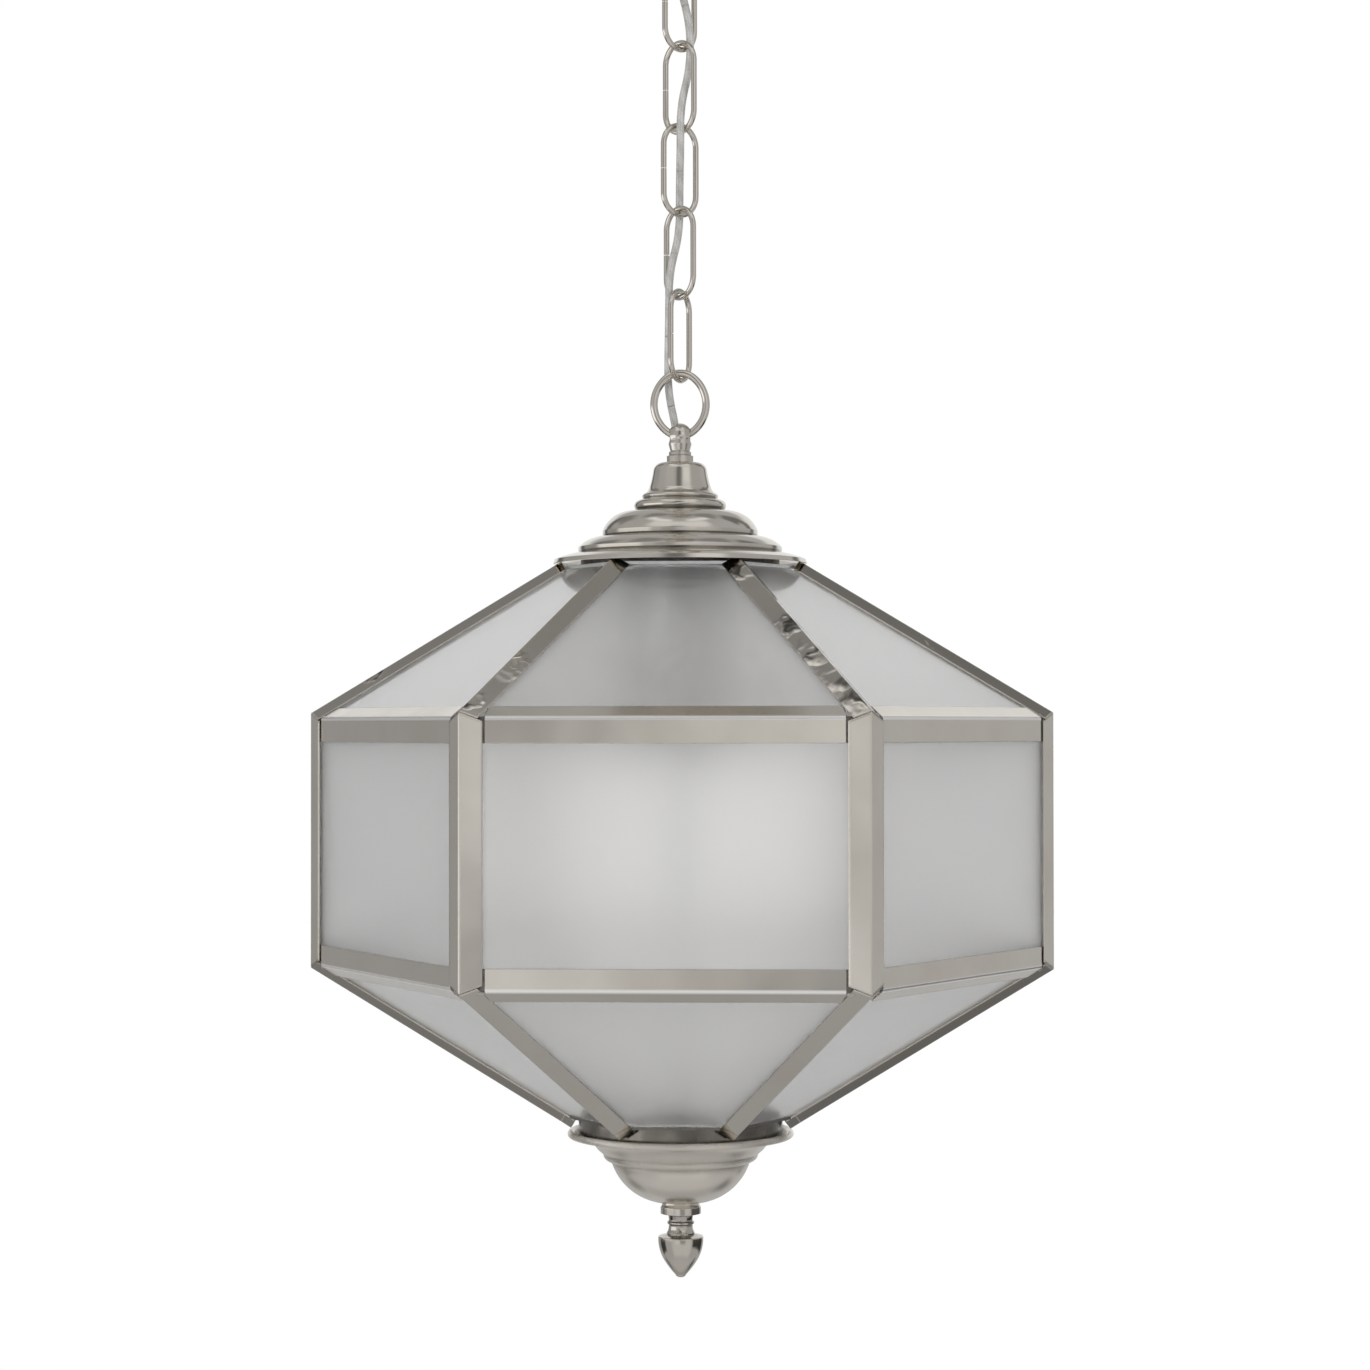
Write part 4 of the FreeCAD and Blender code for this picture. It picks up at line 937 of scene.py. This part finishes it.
# tent: what polished metal and glass see around them. Each tone lies over those before it.
# turn: degrees round from the front, + to the right, 180 at the back; rise: degrees above the middle
tent = {
    "middle": (0.0, 0.0, -0.5),
    "radius": 1.8,
    "ground": 0.50,  # level where no tone lies
    "grid": (61, 96),  # rows and columns
    "pole": 89,  # degrees up and down at which the rows end
    "tones": [  # name, turn from, to, edge, rise from, to, edge, level at the left, at the right
        ("overhead", -400, 400, 1, 55, 120, 12, 0.48, 0.48),
        ("underneath", -400, 400, 1, -120, -58, 10, 0.57, 0.57),
        ("underneathBackLeft", -400, -104, 10, -120, -58, 4, 0.42, 0.42),
        ("underneathBackRight", 104, 400, 10, -120, -58, 4, 0.42, 0.42),
        ("leftWall", -150, -95, 12, -28, 30, 8, 0.39, 0.39),
        ("rightWall", 95, 150, 12, -28, 30, 8, 0.54, 0.54),
        ("front", -44, 60, 12, -56, 12, 8, 0.68, 0.68),
        ("frontLowLeft", -26, -3, 4, -22, -3, 3, 0.80, 0.80),
        ("frontLowRight", -1, 26, 4, -22, -3, 3, 0.38, 0.38),
        ("frontHighLeft", -26, -5, 4, -1, 9, 3, 0.38, 0.38),
        ("frontHighRight", -1, 26, 4, -3, 9, 3, 0.80, 0.80),
        ("softboxAbove", -60, 60, 10, 46, 64, 6, 0.86, 0.86),
        ("shadeAboveFront", -13, 8, 6, 12, 50, 5, 0.20, 0.20),
        ("leftWindow", -62, -22, 9, 12, 42, 7, 0.56, 0.56),
        ("rightWindow", 14, 46, 7, 12, 42, 7, 0.90, 0.90),
        ("leftCurtain", -102, -42, 5, -14, 9, 3, 1.40, 1.40),
        ("leftGap", -146, -134, 3, 2, 45, 5, 0.14, 0.14),
        ("rightGap", 130, 140, 3, 2, 45, 5, 0.18, 0.18),
        ("acornShadeLeft", -122, -84, 4, -36, -15, 3, 0.05, 0.05),
        ("acornShadeRight", 66, 140, 4, -31, -13, 3, 0.05, 0.05),
        ("hipShadeLeft", -142, -112, 4, 36, 54, 4, 0.22, 0.30),
        ("hipShadeRight", 112, 142, 4, 38, 58, 4, 0.20, 0.20),
        ("footShadeLeft", -142, -118, 4, -54, -38, 4, 0.22, 0.22),
        ("footShadeRight", 118, 144, 4, -58, -42, 4, 0.16, 0.16),
        ("backdropLeft", -400, -149, 2, -14, 31, 4, 0.90, 0.90),
        ("backdropLowLeft", -400, -149, 2, -30, -14, 4, 0.52, 0.52),
        ("backdropRight", 144, 400, 2, -14, 35, 4, 0.90, 0.90),
        ("backdropLowRight", 147, 400, 2, -32, -14, 4, 0.52, 0.52),
        ("zenithGlow", 20, 90, 8, 66, 74, 3, 1.0, 1.0),
        ("zenithGlowLeft", -100, -20, 8, 64, 72, 3, 1.0, 1.0),
        ("zenithDark", -400, 400, 1, 83, 120, 2, 0.07, 0.07),
        ("zenithShade", 96, 150, 6, 62, 80, 3, 0.29, 0.29),
        ("zenithShadeLeft", -150, -104, 6, 62, 79, 3, 0.28, 0.28),
    ],
}


# 0 outside low..high, 1 inside, each end eased over plus and minus edge
def window(tree, source, low, high, edge):
    up = eased(tree, source, low - edge, low + edge)
    down = eased(tree, source, high - edge, high + edge, 1.0, 0.0)
    return calc(tree, "MULTIPLY", up, down)


def tentTones():
    finish, tree, shader = newFinish("tentTones")
    away = node(tree, "VectorMath", {0: objectPlace(tree)}, {1: tent["middle"]}, operation="SUBTRACT")
    heading = node(tree, "VectorMath", {0: away.outputs["Vector"]}, operation="NORMALIZE").outputs["Vector"]
    axes = node(tree, "SeparateXYZ", {"Vector": heading})
    back = calc(tree, "MULTIPLY", axes.outputs["Y"], -1.0)
    turn = calc(tree, "DEGREES", calc(tree, "ARCTAN2", axes.outputs["X"], back))
    rise = calc(tree, "DEGREES", calc(tree, "ARCSINE", axes.outputs["Z"]))
    level = None
    for _, turnFrom, turnTo, turnEdge, riseFrom, riseTo, riseEdge, left, right in tent["tones"]:
        wide = window(tree, turn, turnFrom, turnTo, turnEdge)
        high = window(tree, rise, riseFrom, riseTo, riseEdge)
        share = calc(tree, "MULTIPLY", wide, high)
        tone = mapped(tree, turn, turnFrom, turnTo, left, right)
        laid = node(tree, "Mix", {"Factor": share, "B": tone}, {"A": tent["ground"]}, data_type="FLOAT")
        if level:
            tree.links.new(level, laid.inputs["A"])
        level = laid.outputs[0]
    showInstead(tree, node(tree, "Emission", {"Strength": level}, {"Color": white}).outputs[0])
    tree.nodes.remove(shader)
    return finish


# ball: middle + radius * (cos(rise) * cos(turn), cos(rise) * sin(turn), sin(rise))
def pitchTent():
    rows, columns = tent["grid"]
    rise = np.radians(np.linspace(-tent["pole"], tent["pole"], rows))[:, None]
    turn = np.linspace(0, 2 * np.pi, columns, endpoint=False)[None, :]
    grid = np.stack([np.cos(rise) * np.cos(turn), np.cos(rise) * np.sin(turn), np.sin(rise) + 0 * turn], axis=-1)
    skin = roundSurfaces("tent", [np.array(tent["middle"]) + tent["radius"] * grid])
    skin.visible_camera = False
    skin.visible_transmission = False
    skin.visible_diffuse = False
    skin.visible_shadow = False
    skin.data.materials.append(tentTones())


# disc: floor radius * (cos(turn), sin(turn)), at the floor's height
def layFloor():
    turn = np.linspace(0, 2 * np.pi, studio["sides"], endpoint=False)
    rim = np.stack([np.cos(turn), np.sin(turn), np.zeros_like(turn)], axis=1) * studio["floorRadius"]
    rim[:, 2] = studio["floorHeight"]
    floor = putMesh("floor", rim, [list(range(len(turn)))])
    finish, tree, shader = newFinish("floorPaint")
    fade = mapped(tree, radiusOf(tree, objectPlace(tree)), *studio["floorFade"])
    setSockets(shader, Base_Color=pale(studio["floorTint"]), **studio["floorSockets"])
    glow = node(tree, "Emission", values={"Color": white, "Strength": 1.0})
    showInstead(tree, node(tree, "MixShader", {0: fade, 1: shader.outputs[0], 2: glow.outputs[0]}).outputs[0])
    floor.data.materials.append(finish)


lightAir()
hangLamps()
layFloor()
pitchTent()
print("studio set")
